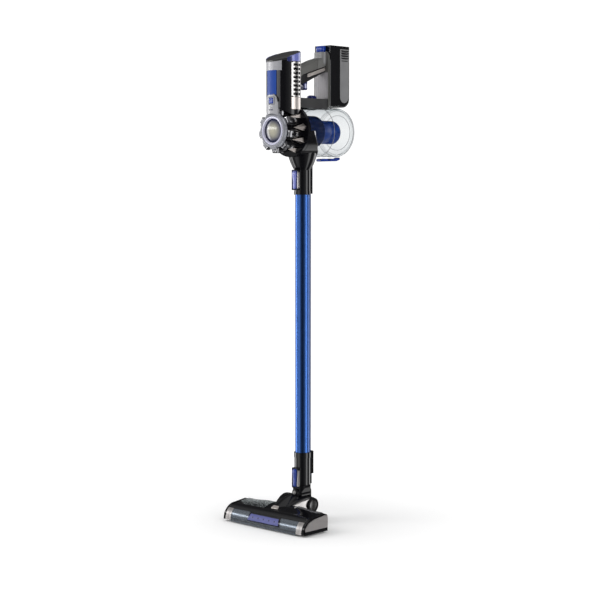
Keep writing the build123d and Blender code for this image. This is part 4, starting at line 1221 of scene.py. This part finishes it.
# Grey levels of the studio that glossy surfaces mirror. AROUND_BANDS goes from straight behind the
# object, round past its left, the camera and its right. The others go from straight below to above.
AROUND_BANDS = [(0.0, 0.015), (0.09, 0.03), (0.12, 0.3), (0.15, 0.3), (0.17, 0.04), (0.185, 0.9),
                (0.215, 1.0), (0.228, 0.05), (0.28, 0.06), (0.32, 0.24), (0.38, 0.2), (0.42, 0.04),
                (0.46, 0.01), (0.52, 0.01), (0.58, 0.04), (0.64, 0.1), (0.67, 0.6), (0.7, 0.6),
                (0.725, 0.02), (0.8, 0.02), (0.83, 0.35), (0.88, 0.4), (0.91, 0.03), (1.0, 0.015)]
SIDE_BANDS = [(0.0, 0.0), (0.3, 0.3), (0.42, 1.0), (0.58, 1.0), (0.68, 0.35), (0.78, 0.12), (1.0, 0.0)]
BELOW_BANDS = [(0.0, 0.2), (0.25, 0.4), (0.42, 0.2), (0.5, 0.0), (1.0, 0.0)]
ABOVE_BANDS = [(0.0, 0.0), (0.6, 0.002), (0.8, 0.006), (0.9, 0.08), (1.0, 0.12)]
STUDIO_STRENGTH = 6.0
AMBIENT_STRENGTH = 0.72
BACKDROP_STRENGTH = 1.1


def studio_light(tree):
    """The studio's colour by direction: soft boxes around the object."""
    direction = add_node(tree, "TexCoord").outputs["Generated"]
    rotation = (0, 0, math.radians(90 - CAMERA_AZIMUTH))
    turned = add_node(tree, "Mapping", {"Vector": direction, "Rotation": rotation}).outputs["Vector"]
    parts = add_node(tree, "SeparateXYZ", {"Vector": turned}).outputs
    angle = map_range(tree, calculate(tree, "ARCTAN2", parts["Y"], parts["X"]), -math.pi, math.pi)
    height = map_range(tree, parts["Z"], -1, 1)
    levels, beneath, above = (grey_ramp(tree, height, bands)
                              for bands in (SIDE_BANDS, BELOW_BANDS, ABOVE_BANDS))
    boxes = vector_maths(tree, "MULTIPLY", grey_ramp(tree, angle, AROUND_BANDS),
                         vector_maths(tree, "ADD", levels, beneath))
    return vector_maths(tree, "ADD", boxes, above)


def make_world():
    """White behind the object, even light for shading, and the studio in reflections."""
    world = bpy.data.worlds.new("studio")
    bpy.context.scene.world = world
    world.use_nodes = True
    tree = world.node_tree
    tree.nodes.remove(tree.nodes["Background"])

    def light(colour, strength):
        return add_node(tree, "Background", {"Color": colour, "Strength": strength}).outputs[0]

    def mixed(factor, first, second):
        return add_node(tree, "MixShader", {0: factor, 1: first, 2: second}).outputs[0]

    white = (1, 1, 1, 1)
    path = add_node(tree, "LightPath").outputs
    bounces = calculate(tree, "ADD", path["Diffuse Depth"], path["Glossy Depth"])
    seen = calculate(tree, "LESS_THAN", bounces, 0.5)
    mirrored = calculate(tree, "GREATER_THAN", path["Glossy Depth"], 0.5)
    shading = mixed(mirrored, light(white, AMBIENT_STRENGTH), light(studio_light(tree), STUDIO_STRENGTH))
    surface = mixed(seen, shading, light(white, BACKDROP_STRENGTH))
    tree.links.new(surface, tree.nodes["World Output"].inputs["Surface"])


def make_lights():
    """A key from the upper left, a weaker fill from the right and a low strip that gloss mirrors."""
    make_world()
    area_light("key", (-1.6, -2.2, 2.4), (0, 0, 0.5), (1.6, 1.6), 22)
    area_light("fill", (2.4, -0.4, 1.6), (0, 0, 0.5), (1.4, 1.4), 8)
    area_light("strip", (-2.0, -1.95, 1.2), (0, 0, 0.05), (1.6, 0.22), 9, mirrored=True)


def make_camera():
    data = bpy.data.cameras.new("camera")
    data.lens = LENS
    data.sensor_width = 36
    camera = bpy.data.objects.new("camera", data)
    bpy.context.collection.objects.link(camera)
    angle = math.radians(CAMERA_AZIMUTH)
    middle = at(0, 0, 0)
    place = middle + Vector((math.sin(angle), -math.cos(angle), 0)) * CAMERA_DISTANCE
    place.z = CAMERA_HEIGHT
    sideways = Vector((math.cos(angle), math.sin(angle), 0)) * AIM_SIDE
    place += sideways
    target = middle + sideways + Vector((0, 0, AIM_HEIGHT))
    camera.location = place
    camera.rotation_euler = (target - place).to_track_quat("-Z", "Y").to_euler()
    bpy.context.scene.camera = camera


make_floor()
make_lights()
make_camera()
bpy.context.scene.view_settings.view_transform = "Standard"
